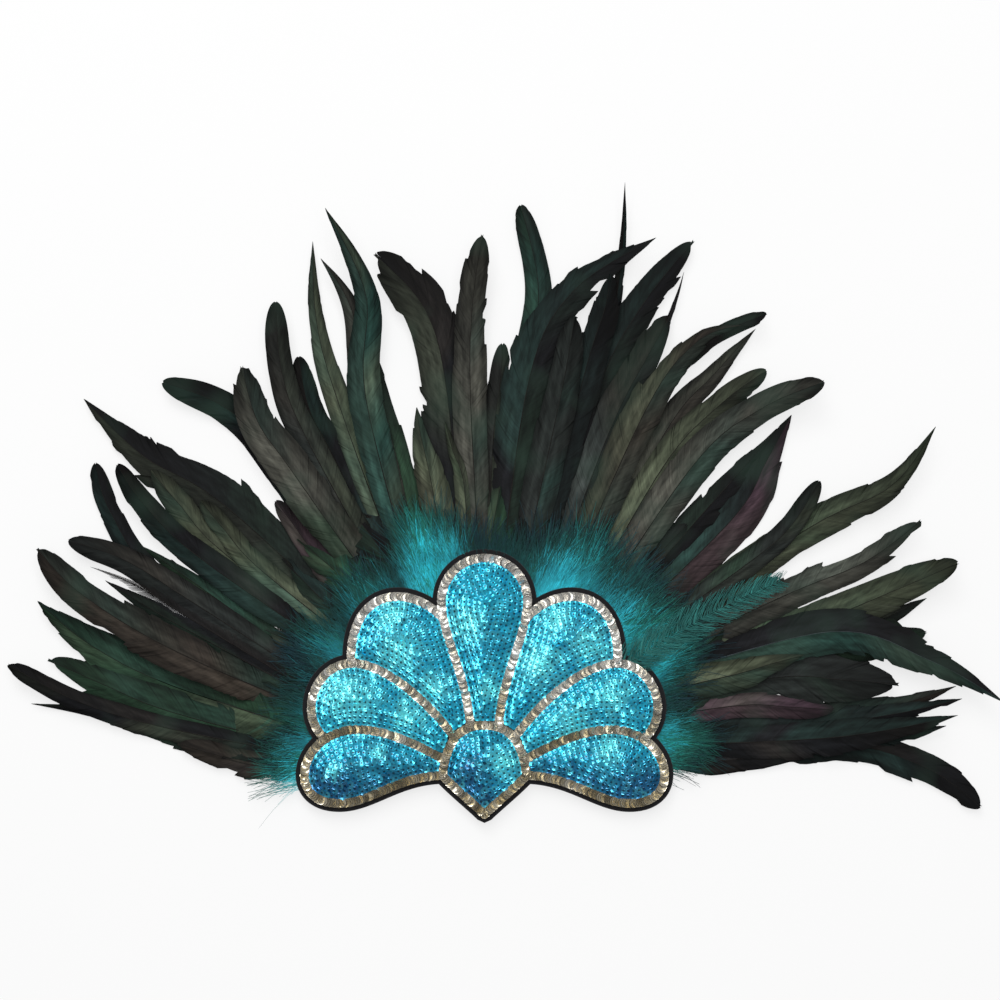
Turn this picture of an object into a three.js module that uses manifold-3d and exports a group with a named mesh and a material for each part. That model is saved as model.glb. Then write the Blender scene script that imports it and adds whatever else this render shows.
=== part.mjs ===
// Carnival feather headdress lying face up: a scalloped felt patch with seven sequin petals,
// a pointed medallion and a sequin trim, backed by three rows of tail feathers and a row of down.
// Millimetres, +X to the wearer's left hand, +Y to the feather tips, +Z out of the front.
// The origin is on the flat back face, where the petals' centre lines meet.
import * as THREE from 'three';
import { mergeVertices } from 'three/addons/utils/BufferGeometryUtils.js';
import Module from 'manifold-3d';

const wasm = await Module();
wasm.setup();

// Thicknesses of the layers, from the back face at z = 0 upwards
const GAP = 0.3;
const BACKING = 1.6;
const TAPE = 1.2;
const FELT = 2.0;
const PANEL = 1.4;
const TRIM = 2.0;
const BLADE = 0.9;
const BLADE_CROWN = 0.25;
const BLADE_INSET = (TAPE - BLADE - BLADE_CROWN) / 2;

// Binding of the feather rows: an arched tape round the hub, hidden behind the patch
const TAPE_OUTER = 74;
const TAPE_INNER = 60;
const TAPE_START = -9;
const TAPE_END = 189;
const ROOT_RADIUS = 68;
const ARC_STEPS = 26;

// Patch: the trim is a band along each line, and the felt shows outside it
const TRIM_WIDTH = 5;
const FELT_RIM = 2;
const LINE_STEPS = 9;
const CAP_STEPS = 3;
const TOP_CENTRE = 74.5;
const TOP_RADIUS = 21.5;

// Heights: past the edge of the patch each row rises, by its own lift at LIFT_REACH beyond it
const LIFT_START = 102;
const LIFT_REACH = 155;
const ROW_LIFT = { rear: 5, middle: 11, front: 18, down: 60 };

// Width of a feather along its length, as shares of its width in the table, for the two kinds of tip
const FEATHER_PROFILE = [
  { along: 0.0, round: 0.7, pointed: 0.7 },
  { along: 0.22, round: 1.1, pointed: 1.1 },
  { along: 0.45, round: 1.2, pointed: 1.2 },
  { along: 0.65, round: 1.1, pointed: 1.1 },
  { along: 0.82, round: 1.0, pointed: 0.8 },
  { along: 0.94, round: 0.74, pointed: 0.38 },
  { along: 1.0, round: 0.3, pointed: 0.06 },
];

// Width of a lock of down along its length, as shares of its full width
const LOCK_PROFILE = [
  { along: 0.0, lock: 0.7 },
  { along: 0.28, lock: 0.9 },
  { along: 0.55, lock: 1.0 },
  { along: 0.8, lock: 0.62 },
  { along: 1.0, lock: 0.12 },
];

// Tail feathers, clockwise from the lower left: the row, the kind of tip, where the quill's tip, its
// bend and its middle lie, the angle round the hub where it is bound, and its width in the outer half
const FEATHERS = [
  { row: 'rear', kind: 'pointed', tip: [-231, 23], bend: [-192, 20], mid: [-152, 5], root: 191, width: 7 },
  { row: 'middle', kind: 'round', tip: [-238, 45], bend: [-205, 28], mid: [-160, 13], root: 186, width: 10 },
  { row: 'front', kind: 'pointed', tip: [-224, 75], bend: [-196, 52], mid: [-155, 31], root: 177, width: 26 },
  { row: 'rear', kind: 'round', tip: [-223, 101], bend: [-203, 78], mid: [-160, 51], root: 171, width: 17 },
  { row: 'middle', kind: 'round', tip: [-208, 105], bend: [-180, 95], mid: [-145, 73], root: 162, width: 13 },
  { row: 'rear', kind: 'round', tip: [-195, 144], bend: [-187, 118], mid: [-158, 81], root: 158, width: 12 },
  { row: 'front', kind: 'round', tip: [-183, 143], bend: [-172, 121], mid: [-143, 93], root: 147, width: 14 },
  { row: 'middle', kind: 'round', tip: [-167, 140], bend: [-152, 122], mid: [-130, 98], root: 143, width: 16 },
  { row: 'rear', kind: 'pointed', tip: [-200, 176], bend: [-170, 147], mid: [-130, 121], root: 136, width: 25 },
  { row: 'front', kind: 'round', tip: [-161, 184], bend: [-132, 171], mid: [-104, 144], root: 128, width: 14 },
  { row: 'rear', kind: 'round', tip: [-121, 192], bend: [-113, 168], mid: [-92, 137], root: 124, width: 15 },
  { row: 'middle', kind: 'round', tip: [-104, 224], bend: [-101, 188], mid: [-87, 152], root: 121, width: 11 },
  { row: 'front', kind: 'round', tip: [-93, 197], bend: [-88, 171], mid: [-75, 143], root: 120, width: 11 },
  { row: 'rear', kind: 'pointed', tip: [-86, 255], bend: [-84, 213], mid: [-71, 167], root: 118, width: 12 },
  { row: 'middle', kind: 'pointed', tip: [-82, 246], bend: [-66, 216], mid: [-54, 165], root: 116, width: 9 },
  { row: 'front', kind: 'pointed', tip: [-79, 270], bend: [-59, 226], mid: [-57, 172], root: 116, width: 12 },
  { row: 'rear', kind: 'round', tip: [-53, 205], bend: [-50, 177], mid: [-43, 145], root: 109, width: 17 },
  { row: 'middle', kind: 'pointed', tip: [-57, 248], bend: [-31, 215], mid: [-19, 172], root: 98, width: 25 },
  { row: 'front', kind: 'round', tip: [0, 257], bend: [-4, 222], mid: [-5, 175], root: 91, width: 15 },
  { row: 'rear', kind: 'round', tip: [18, 273], bend: [24, 230], mid: [16, 180], root: 88, width: 13 },
  { row: 'middle', kind: 'pointed', tip: [86, 255], bend: [42, 226], mid: [20, 183], root: 85, width: 23 },
  { row: 'front', kind: 'round', tip: [45, 217], bend: [41, 192], mid: [34, 158], root: 78, width: 17 },
  { row: 'front', kind: 'pointed', tip: [70, 284], bend: [68, 240], mid: [57, 185], root: 73, width: 7 },
  { row: 'rear', kind: 'pointed', tip: [106, 255], bend: [75, 219], mid: [54, 177], root: 72, width: 19 },
  { row: 'middle', kind: 'round', tip: [93, 217], bend: [81, 196], mid: [62, 158], root: 67, width: 19 },
  { row: 'front', kind: 'pointed', tip: [141, 216], bend: [107, 201], mid: [79, 167], root: 62, width: 16 },
  { row: 'rear', kind: 'pointed', tip: [136, 211], bend: [116, 188], mid: [91, 158], root: 57, width: 10 },
  { row: 'middle', kind: 'round', tip: [141, 190], bend: [117, 173], mid: [89, 142], root: 54, width: 15 },
  { row: 'front', kind: 'round', tip: [169, 184], bend: [137, 170], mid: [104, 142], root: 50, width: 18 },
  { row: 'rear', kind: 'pointed', tip: [154, 168], bend: [143, 143], mid: [124, 113], root: 41, width: 23 },
  { row: 'front', kind: 'round', tip: [167, 135], bend: [153, 112], mid: [130, 91], root: 35, width: 9 },
  { row: 'middle', kind: 'pointed', tip: [225, 162], bend: [203, 131], mid: [160, 107], root: 35, width: 18 },
  { row: 'middle', kind: 'round', tip: [218, 116], bend: [190, 95], mid: [150, 77], root: 30, width: 19 },
  { row: 'front', kind: 'round', tip: [237, 92], bend: [205, 78], mid: [160, 61], root: 27, width: 20 },
  { row: 'rear', kind: 'round', tip: [210, 60], bend: [188, 62], mid: [155, 56], root: 26, width: 16 },
  { row: 'middle', kind: 'pointed', tip: [258, 25], bend: [222, 47], mid: [170, 60], root: 24, width: 19 },
  { row: 'front', kind: 'round', tip: [203, 34], bend: [180, 35], mid: [145, 36], root: 18, width: 20 },
  { row: 'rear', kind: 'pointed', tip: [237, 32], bend: [205, 22], mid: [160, 16], root: 10, width: 14 },
  { row: 'middle', kind: 'pointed', tip: [238, 22], bend: [205, 15], mid: [160, 11], root: 6, width: 13 },
  { row: 'front', kind: 'pointed', tip: [232, 15], bend: [200, 9], mid: [158, 4], root: 1, width: 13 },
  { row: 'rear', kind: 'round', tip: [250, -29], bend: [222, -6], mid: [170, 1], root: -4, width: 18 },
];

// How far the down reaches from the hub, by angle
const DOWN_REACH = [
  { angle: -9, reach: 100 },
  { angle: 20, reach: 110 },
  { angle: 38, reach: 122 },
  { angle: 62, reach: 113 },
  { angle: 80, reach: 110 },
  { angle: 104, reach: 120 },
  { angle: 147, reach: 108 },
  { angle: 180, reach: 112 },
  { angle: 195, reach: 108 },
];
const LOCK_STEP = 9;
const LOCK_WIDTH = 13;
const LOCK_SPREAD = 0.05;
const LOCK_RHYTHM = 2.4;
const LONG_PLUME = { tip: [152, 86], bend: [128, 76], mid: [98, 60], root: 31, width: 11 };

// Trim lines on the right half of the patch, each a cubic curve from one joint to the next
const TRIM_LINES = {
  topSide: [[21.5, 74.5], [21.5, 58], [9, 38], [7.2, 13]],
  upperArc: [[21.3, 66.5], [38, 84], [68, 81], [66.5, 43.4]],
  midSide: [[66.5, 43.4], [50, 44], [28, 24], [15.8, 7.5]],
  midArc: [[66.5, 43.4], [84, 43], [94, 19], [79.5, 5.5]],
  lowerSide: [[79.5, 5.5], [66, 15], [46, 10], [20.5, -4.5]],
  lowerEnd: [[79.5, 5.5], [94, -4], [95, -26.5], [72.5, -26.5]],
  lowerFoot: [[72.5, -26.5], [57, -26.5], [44, -13], [21, -12.5]],
  medallionTop: [[0, 12.5], [13, 12.5], [19, 4], [21, -12.5]],
  medallionFoot: [[21, -12.5], [15, -19], [5, -27], [0, -32]],
};

const EDGE_LINES = ['upperArc', 'midArc', 'lowerEnd', 'lowerFoot', 'medallionTop', 'medallionFoot'];

// Turns a closed geometry into a solid whose shared corners are merged
function toSolid(geometry) {
  const plain = geometry.index ? geometry.toNonIndexed() : geometry.clone();
  plain.deleteAttribute('normal');
  plain.deleteAttribute('uv');
  const merged = mergeVertices(plain, 1e-4);
  return new wasm.Manifold(new wasm.Mesh({
    numProp: 3,
    vertProperties: new Float32Array(merged.attributes.position.array),
    triVerts: new Uint32Array(merged.index.array),
  }));
}

// Turns a solid back into a geometry
function toGeometry(solid) {
  const mesh = solid.getMesh();
  const geometry = new THREE.BufferGeometry();
  geometry.setAttribute('position', new THREE.BufferAttribute(mesh.vertProperties, 3));
  geometry.setIndex(new THREE.BufferAttribute(mesh.triVerts, 1));
  geometry.computeVertexNormals();
  return geometry;
}

// Joins a list of solids into one
function fuse(solids) {
  return solids.reduce((joined, solid) => joined.add(solid));
}

// A flat slab of an outline given as points, from z upwards
function slab(points, z, thickness) {
  const geometry = new THREE.ExtrudeGeometry(new THREE.Shape(points), {
    depth: thickness,
    bevelEnabled: false,
  });
  return toSolid(geometry.translate(0, 0, z));
}

// A point at an angle in degrees and a distance from a centre
function polar(angle, radius, centre = new THREE.Vector2()) {
  const turn = THREE.MathUtils.degToRad(angle);
  return new THREE.Vector2(Math.cos(turn), Math.sin(turn)).multiplyScalar(radius).add(centre);
}

// Points of an arc from one angle to another
function arcPoints(centre, radius, start, end, steps) {
  const turn = (end - start) / steps;
  return Array.from({ length: steps + 1 }, (_, k) => polar(start + turn * k, radius, centre));
}

// Points of a trim line, on the right half or mirrored to the left
function linePoints(name, side = 1) {
  const corners = TRIM_LINES[name].map(([x, y]) => new THREE.Vector2(x * side, y));
  return new THREE.CubicBezierCurve(...corners).getPoints(LINE_STEPS);
}

// Outline of a band of a half width round a line of points, with round ends
function bandOutline(points, half) {
  const left = [];
  const right = [];
  points.forEach((point, k) => {
    const before = points[Math.max(k - 1, 0)];
    const after = points[Math.min(k + 1, points.length - 1)];
    const along = after.clone().sub(before).normalize();
    const across = new THREE.Vector2(-along.y, along.x).multiplyScalar(half);
    left.push(point.clone().add(across));
    right.push(point.clone().sub(across));
  });
  const cap = (centre, from) => {
    const start = THREE.MathUtils.radToDeg(from.clone().sub(centre).angle());
    return arcPoints(centre, half, start, start - 180, CAP_STEPS).slice(1, -1);
  };
  const last = points.length - 1;
  return [...left, ...cap(points[last], left[last]), ...right.reverse(), ...cap(points[0], right[last])];
}

// Trim lines of the patch as lists of points, from their names
function patchLines(names) {
  const sides = names.flatMap((name) => [linePoints(name, 1), linePoints(name, -1)]);
  const top = arcPoints(new THREE.Vector2(0, TOP_CENTRE), TOP_RADIUS, 0, 180, 2 * LINE_STEPS);
  return [...sides, top];
}

// Bands along lines of the patch, fused, at one half width and height
function trimNet(lines, half, z, thickness) {
  return fuse(lines.map((points) => slab(bandOutline(points, half), z, thickness)));
}

// Outlines of the sequin panels along the trim's centre lines
function panelOutlines() {
  const back = (points) => points.slice().reverse();
  const outlines = {
    petal_top: [
      ...arcPoints(new THREE.Vector2(0, TOP_CENTRE), TOP_RADIUS, 0, 180, 2 * LINE_STEPS),
      ...linePoints('topSide', -1).slice(1),
      ...back(linePoints('topSide', 1)).slice(0, -1),
    ],
    medallion: [
      ...linePoints('medallionTop', 1),
      ...linePoints('medallionFoot', 1).slice(1),
      ...back(linePoints('medallionFoot', -1)).slice(1),
      ...back(linePoints('medallionTop', -1)).slice(1, -1),
    ],
  };
  for (const [label, side] of [['right', 1], ['left', -1]]) {
    outlines[`petal_upper_${label}`] = [
      ...linePoints('upperArc', side),
      ...linePoints('midSide', side).slice(1),
      ...back(linePoints('topSide', side)).filter((point) => point.y < TRIM_LINES.upperArc[0][1]),
    ];
    outlines[`petal_mid_${label}`] = [
      ...linePoints('midArc', side),
      ...linePoints('lowerSide', side).slice(1),
      ...back(linePoints('midSide', side)).slice(0, -1),
    ];
    outlines[`petal_lower_${label}`] = [
      ...linePoints('lowerEnd', side),
      ...linePoints('lowerFoot', side).slice(1),
      ...back(linePoints('lowerSide', side)).slice(0, -1),
    ];
  }
  return outlines;
}

// Rise of a row at a distance from the hub
function rowLift(row, distance) {
  const beyond = Math.max(distance - LIFT_START, 0) / LIFT_REACH;
  return ROW_LIFT[row] * beyond * beyond;
}

// A thin tapered blade along a curve from root to tip, with a low crown along its middle
function blade(row, z, profile, kind, { tip, bend, mid, root, width }) {
  const through = [mid, bend, tip].map((point) => new THREE.Vector2(...point));
  const quill = new THREE.SplineCurve([polar(root, ROOT_RADIUS), ...through]);
  const steps = profile.length - 1;
  const geometry = new THREE.BoxGeometry(steps, 1, 1, steps, 2, 1);
  const places = geometry.attributes.position;
  for (let k = 0; k < places.count; k += 1) {
    const station = profile[Math.round(places.getX(k) + steps / 2)];
    const point = quill.getPointAt(station.along);
    const along = quill.getTangentAt(station.along);
    const offset = places.getY(k) * width * station[kind];
    const crown = places.getY(k) === 0 ? BLADE_CROWN : 0;
    const height = z + crown + rowLift(row, point.length()) + (places.getZ(k) > 0 ? BLADE : 0);
    places.setXYZ(k, point.x - along.y * offset, point.y + along.x * offset, height);
  }
  return toSolid(geometry);
}

// The arched tape that binds a row
function tape(z) {
  const outer = arcPoints(new THREE.Vector2(), TAPE_OUTER, TAPE_START, TAPE_END, ARC_STEPS);
  const inner = arcPoints(new THREE.Vector2(), TAPE_INNER, TAPE_END, TAPE_START, ARC_STEPS);
  return slab([...outer, ...inner], z, TAPE);
}

// The plain flat backing of the rear row, which closes the back of the patch
function backing() {
  return slab(arcPoints(new THREE.Vector2(), TAPE_OUTER, TAPE_START, TAPE_END, ARC_STEPS), 0, BACKING);
}

// One row of tail feathers fused to its binding, whose blades start inside the binding
function featherRow(row, binding, z) {
  const blades = FEATHERS.filter((feather) => feather.row === row).map((feather) => (
    blade(row, z, FEATHER_PROFILE, feather.kind, feather)
  ));
  return fuse([binding, ...blades]);
}

// Reach of the down at an angle, between the rows of its table
function downReach(angle) {
  const next = DOWN_REACH.findIndex((row) => row.angle >= angle);
  const upper = DOWN_REACH[next];
  const lower = DOWN_REACH[Math.max(next - 1, 0)];
  const share = (angle - lower.angle) / Math.max(upper.angle - lower.angle, 1);
  return THREE.MathUtils.lerp(lower.reach, upper.reach, share);
}

// The row of down: locks round the patch and one long plume, fused to a tape
function downRow(z) {
  const lockZ = z + BLADE_INSET;
  const locks = [blade('down', lockZ, LOCK_PROFILE, 'lock', LONG_PLUME)];
  for (let angle = TAPE_START; angle <= TAPE_END; angle += LOCK_STEP) {
    const spread = 1 + LOCK_SPREAD * Math.sin(angle * LOCK_RHYTHM);
    const length = downReach(angle) * spread - ROOT_RADIUS;
    const at = (share) => polar(angle, ROOT_RADIUS + length * share).toArray();
    const lock = { tip: at(1), bend: at(2 / 3), mid: at(1 / 3), root: angle, width: LOCK_WIDTH };
    locks.push(blade('down', lockZ, LOCK_PROFILE, 'lock', lock));
  }
  return fuse([tape(z), ...locks]);
}

// The black felt under the whole patch, with its rim outside the trim
function baseFelt(z) {
  const panels = Object.values(panelOutlines()).map((points) => slab(points, z, FELT));
  return fuse([trimNet(patchLines(EDGE_LINES), TRIM_WIDTH / 2 + FELT_RIM, z, FELT), ...panels]);
}

// Materials by the piece they belong to
const FINISH = {
  feather_row_rear: { color: 0x14171a, roughness: 0.45, metalness: 0 },
  feather_row_middle: { color: 0x1f2a22, roughness: 0.45, metalness: 0 },
  feather_row_front: { color: 0x2f3527, roughness: 0.45, metalness: 0 },
  down_row: { color: 0x1e97a8, roughness: 0.8, metalness: 0 },
  base_felt: { color: 0x0d0d0f, roughness: 0.95, metalness: 0 },
  sequin_trim: { color: 0xb9b7a6, roughness: 0.25, metalness: 0.8 },
  panel: { color: 0x0e9bbe, roughness: 0.25, metalness: 0.3 },
};

const group = new THREE.Group();

// Adds one named piece to the headdress
function add(name, solid, finish = FINISH[name]) {
  const mesh = new THREE.Mesh(toGeometry(solid), new THREE.MeshStandardMaterial(finish));
  mesh.name = name;
  group.add(mesh);
}

const middleZ = BACKING + GAP;
const frontZ = middleZ + TAPE + GAP;
const downZ = frontZ + TAPE + GAP;
const feltZ = downZ + TAPE + GAP;
const panelZ = feltZ + FELT + GAP;

add('feather_row_rear', featherRow('rear', backing(), (BACKING - BLADE - BLADE_CROWN) / 2));
add('feather_row_middle', featherRow('middle', tape(middleZ), middleZ + BLADE_INSET));
add('feather_row_front', featherRow('front', tape(frontZ), frontZ + BLADE_INSET));
add('down_row', downRow(downZ));
add('base_felt', baseFelt(feltZ));
const allLines = patchLines(Object.keys(TRIM_LINES));
add('sequin_trim', trimNet(allLines, TRIM_WIDTH / 2, panelZ, TRIM));
const clearance = trimNet(allLines, TRIM_WIDTH / 2 + GAP, panelZ - GAP, PANEL + 2 * GAP);
for (const [name, points] of Object.entries(panelOutlines())) {
  add(name, slab(points, panelZ, PANEL).subtract(clearance), FINISH.panel);
}

export default group;
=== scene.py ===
"""Dresses the carnival feather headdress, which lies face up on a pale floor.

The frame gives the place of every piece. Plan sizes are in millimetres, and meshes in metres.
"""

import logging
import math
from dataclasses import dataclass, field
from enum import Enum

import bmesh
import bpy
import numpy as np
from mathutils import Matrix, Vector


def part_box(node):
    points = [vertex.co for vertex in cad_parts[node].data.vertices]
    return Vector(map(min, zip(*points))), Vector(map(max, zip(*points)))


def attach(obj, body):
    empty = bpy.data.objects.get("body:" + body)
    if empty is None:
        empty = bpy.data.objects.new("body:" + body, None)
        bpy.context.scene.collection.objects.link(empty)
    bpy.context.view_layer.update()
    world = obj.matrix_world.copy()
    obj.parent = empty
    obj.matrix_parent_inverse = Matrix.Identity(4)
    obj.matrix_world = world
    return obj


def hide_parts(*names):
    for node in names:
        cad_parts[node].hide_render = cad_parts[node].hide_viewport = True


Array = np.ndarray
Material = bpy.types.Material
Pair = tuple[float, float]
Piece = bpy.types.Object
Socket = bpy.types.NodeSocket

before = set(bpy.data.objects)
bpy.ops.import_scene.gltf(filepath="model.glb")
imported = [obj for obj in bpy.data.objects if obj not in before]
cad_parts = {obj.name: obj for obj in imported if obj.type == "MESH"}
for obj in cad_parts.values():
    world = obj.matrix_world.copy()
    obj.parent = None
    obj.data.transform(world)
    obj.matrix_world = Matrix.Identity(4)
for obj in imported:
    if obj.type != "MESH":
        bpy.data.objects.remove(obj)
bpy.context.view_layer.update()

LOG = logging.getLogger("headdress")
MM = 0.001
SEED = 4675

# Heights of the feather rows: past the patch each row rises, by its lift at LIFT_REACH beyond it
LIFT_START = 102.0
LIFT_REACH = 155.0
ROOT_RADIUS = 68.0
FLOOR_CLEARANCE = 0.15

# A feather that is raised or lowered beyond its row leaves it between these distances from the hub
OVER_SPAN = (105.0, 150.0)

# The stretch of a noise's range that holds most of it
NOISE_SPAN = (0.3, 0.7)


class Row(Enum):
    """The rows of tail feathers, by the node that each one replaces."""

    REAR = "feather_row_rear"
    MIDDLE = "feather_row_middle"
    FRONT = "feather_row_front"


class Tip(Enum):
    """The two kinds of feather tip."""

    ROUND = "round"
    POINTED = "pointed"


class Tone(Enum):
    """Colours of the tail feathers."""

    COAL = "#17181b"
    SLATE = "#2d3230"
    MOSS = "#2c4634"
    OLIVE = "#545b49"
    ASH = "#4c4c45"
    BROWN = "#3b352f"
    PLUM = "#4f3c47"
    TEAL = "#2a4a43"


REAR, MIDDLE, FRONT = Row
ROUND, POINTED = Tip
COAL, SLATE, MOSS, OLIVE, ASH, BROWN, PLUM, TEAL = Tone


@dataclass(frozen=True)
class Feather:
    """One tail feather. Its plan is in millimetres, and its root an angle about the hub in degrees.

    rag is how torn its vanes are, over how far its outer part is raised beyond its row, left the tone of the
    left vane where it has one of its own, and shaft the colour of the shaft.
    """

    row: Row
    kind: Tip
    tip: Pair
    bend: Pair
    mid: Pair
    root: float
    width: float
    tone: Tone
    rag: float = 0.06
    over: float = 0.0
    left: Tone | None = None
    shaft: str = "#1d1b19"


ROW_LIFT = {REAR: 5.0, MIDDLE: 11.0, FRONT: 18.0}

# Tail feathers, clockwise from the lower left, at or near their places in the part's own table
FEATHERS = tuple(Feather(*columns) for columns in (
    (REAR, POINTED, (-228, 23), (-192, 18), (-152, 4), 191, 9, COAL, 0.3),
    (MIDDLE, ROUND, (-238, 43), (-205, 25), (-160, 11), 186, 11, COAL, 0.1),
    (FRONT, POINTED, (-224, 75), (-197, 52), (-155, 31), 177, 29, MOSS, 0.2, -8),
    (REAR, ROUND, (-223, 101), (-202, 79), (-157, 51), 171, 19, BROWN, 0.2, 10),
    (MIDDLE, ROUND, (-208, 105), (-180, 95), (-145, 73), 162, 14, SLATE),
    (REAR, ROUND, (-195, 144), (-187, 118), (-158, 81), 158, 12, COAL, 0.15),
    (FRONT, ROUND, (-183, 143), (-170, 123), (-141, 95), 147, 14, COAL),
    (MIDDLE, ROUND, (-167, 140), (-152, 122), (-130, 98), 143, 16, OLIVE, 0.15),
    (REAR, POINTED, (-201, 176), (-171, 147), (-130, 122), 136, 29, COAL, 0.25),
    (FRONT, ROUND, (-161, 184), (-131, 172), (-104, 145), 128, 17, COAL, 0.06, -9),
    (REAR, ROUND, (-121, 192), (-113, 164), (-95, 138), 124, 21, ASH, 0.15, 12),
    (MIDDLE, ROUND, (-104, 224), (-101, 188), (-87, 152), 121, 14, SLATE, 0.06, 4),
    (FRONT, ROUND, (-93, 197), (-88, 171), (-74, 143), 120, 14, COAL, 0.06, -6),
    (REAR, POINTED, (-86, 255), (-84, 213), (-71, 167), 118, 12, OLIVE),
    (MIDDLE, POINTED, (-82, 246), (-66, 219), (-57, 167), 116, 15, ASH),
    (FRONT, POINTED, (-79, 270), (-59, 227), (-59, 174), 116, 16, TEAL),
    (REAR, ROUND, (-59, 204), (-55, 177), (-46, 145), 109, 17, MOSS, 0.15),
    (MIDDLE, ROUND, (-55, 248), (-29, 219), (-18, 172), 98, 27, COAL, 0.18),
    (FRONT, ROUND, (-1, 257), (-6, 222), (-7, 175), 91, 16, ASH, 0.2),
    (REAR, ROUND, (18, 273), (27, 230), (20, 182), 88, 14, TEAL),
    (MIDDLE, POINTED, (86, 256), (44, 229), (22, 184), 85, 25, COAL, 0.25),
    (FRONT, ROUND, (45, 217), (41, 192), (34, 158), 78, 17, SLATE, 0.1),
    (FRONT, POINTED, (70, 284), (68, 240), (57, 185), 73, 7, COAL, 0.2, -14),
    (REAR, ROUND, (105, 255), (78, 221), (56, 178), 72, 20, COAL, 0.3),
    (MIDDLE, ROUND, (93, 217), (81, 196), (62, 158), 67, 19, SLATE, 0.2),
    (FRONT, POINTED, (129, 212), (106, 204), (80, 169), 62, 20, BROWN, 0.2),
    (REAR, POINTED, (136, 211), (115, 188), (90, 158), 57, 15, ASH),
    (MIDDLE, ROUND, (141, 190), (117, 172), (89, 141), 54, 15, OLIVE),
    (FRONT, ROUND, (169, 184), (137, 170), (104, 142), 50, 18, ASH, 0.1),
    (REAR, POINTED, (154, 168), (141, 144), (123, 114), 41, 26, PLUM, 0.15, 0, COAL),
    (FRONT, ROUND, (167, 135), (153, 112), (130, 92), 35, 12, SLATE),
    (MIDDLE, POINTED, (225, 162), (203, 132), (159, 109), 35, 18, OLIVE, 0.12),
    (MIDDLE, ROUND, (218, 115), (190, 94), (150, 77), 30, 17, ASH, 0.3),
    (FRONT, ROUND, (236, 94), (205, 80), (160, 62), 27, 20, OLIVE, 0.12, -3),
    (REAR, ROUND, (210, 60), (188, 62), (155, 56), 26, 16, MOSS, 0.2),
    (MIDDLE, POINTED, (259, 24), (222, 45), (170, 59), 24, 22, TEAL, 0.2, 5.5, COAL, "#343c3e"),
    (FRONT, ROUND, (207, 33), (180, 35), (145, 36), 18, 28, SLATE, 0.2),
    (REAR, POINTED, (237, 32), (205, 22), (160, 16), 10, 14, BROWN, 0.15),
    (MIDDLE, POINTED, (239, 26), (205, 18), (160, 12), 6, 16, COAL, 0.25),
    (FRONT, POINTED, (236, 18), (200, 10), (158, 5), 1, 18, COAL, 0.25),
    (REAR, ROUND, (249, -29), (219, -8), (170, 3), -4, 17, COAL, 0.2),
))

# Tones that run into a feather's own one here and there
SECOND_TONES = (MOSS, BROWN, TEAL, OLIVE, COAL)

# Feathers that show only in part, between and under the long ones
FILLERS = tuple(Feather(*columns) for columns in (
    (REAR, ROUND, (-219, 45), (-190, 32), (-155, 18), 184, 20, MOSS, 0.3),
    (FRONT, ROUND, (-154, 3), (-136, -2), (-114, -8), 189, 14, BROWN, 0.35),
    (MIDDLE, POINTED, (-190, 85), (-168, 71), (-140, 55), 167, 15, COAL, 0.3),
    (MIDDLE, POINTED, (-198, 92), (-174, 82), (-140, 61), 166, 13, COAL, 0.8),
    (REAR, POINTED, (-172, 102), (-152, 88), (-124, 68), 158, 13, MOSS, 0.2),
    (FRONT, ROUND, (-142, 125), (-130, 110), (-112, 90), 141, 12, OLIVE, 0.1),
    (MIDDLE, ROUND, (-105, 125), (-96, 113), (-84, 97), 130, 14, PLUM, 0.2),
    (FRONT, POINTED, (-34, 172), (-32, 158), (-26, 130), 103, 16, OLIVE, 0.1),
    (REAR, ROUND, (9, 204), (8, 186), (4, 150), 89, 13, SLATE, 0.15),
    (FRONT, POINTED, (-20, 165), (-16, 150), (-10, 130), 96, 9, OLIVE),
    (REAR, POINTED, (100, 240), (96, 226), (84, 195), 66, 6, COAL, 0.3),
    (REAR, ROUND, (62, 212), (58, 192), (50, 160), 73, 12, SLATE, 0.15),
    (REAR, POINTED, (146, 160), (127, 138), (104, 112), 45, 15, COAL, 0.25),
    (REAR, ROUND, (160, 108), (142, 94), (118, 78), 34, 14, PLUM, 0.15),
    (REAR, ROUND, (222, 59), (200, 53), (160, 45), 18, 15, MOSS, 0.3),
    (FRONT, ROUND, (175, 20), (152, 21.5), (126, 22), 11, 13, PLUM, 0.15),
    (FRONT, POINTED, (160, 48), (142, 43), (122, 37), 20, 16, OLIVE, 0.1, 7),
    (REAR, ROUND, (147, 86), (136, 80), (116, 68), 31, 13, SLATE, 0.1),
    (REAR, ROUND, (102, 113), (94, 105), (82, 91), 47, 12, SLATE, 0.1),
    (MIDDLE, ROUND, (170, 1), (142, -3), (112, -6), -4, 12, COAL, 0.2),
    (MIDDLE, ROUND, (63, 238), (60, 220), (50, 188), 74, 17, COAL, 0.2),
    (MIDDLE, ROUND, (141, 218), (110, 203), (82, 168), 61, 9, COAL, 0.15),
    (REAR, POINTED, (222, 76), (201, 66), (165, 53), 21, 20, SLATE, 0.2),
    (REAR, POINTED, (232, 12), (200, 5), (160, 2), 0, 17, COAL, 0.25),
))

# Short feathers that cover the roots of the long ones, set out in a loop
COVER_COUNT = 48
COVER_ARC = (-1.0, 186.0)
COVER_REACH = (104.0, 142.0)
COVER_WIDTH = (16.0, 25.0)
COVER_LEAN = 7.0
COVER_RAG = 0.48
COVER_STOPS = (1.0, 0.7, 0.4)
COVER_TONES = (BROWN, MOSS, COAL, ASH, PLUM, MOSS, SLATE, BROWN, COAL)

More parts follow.
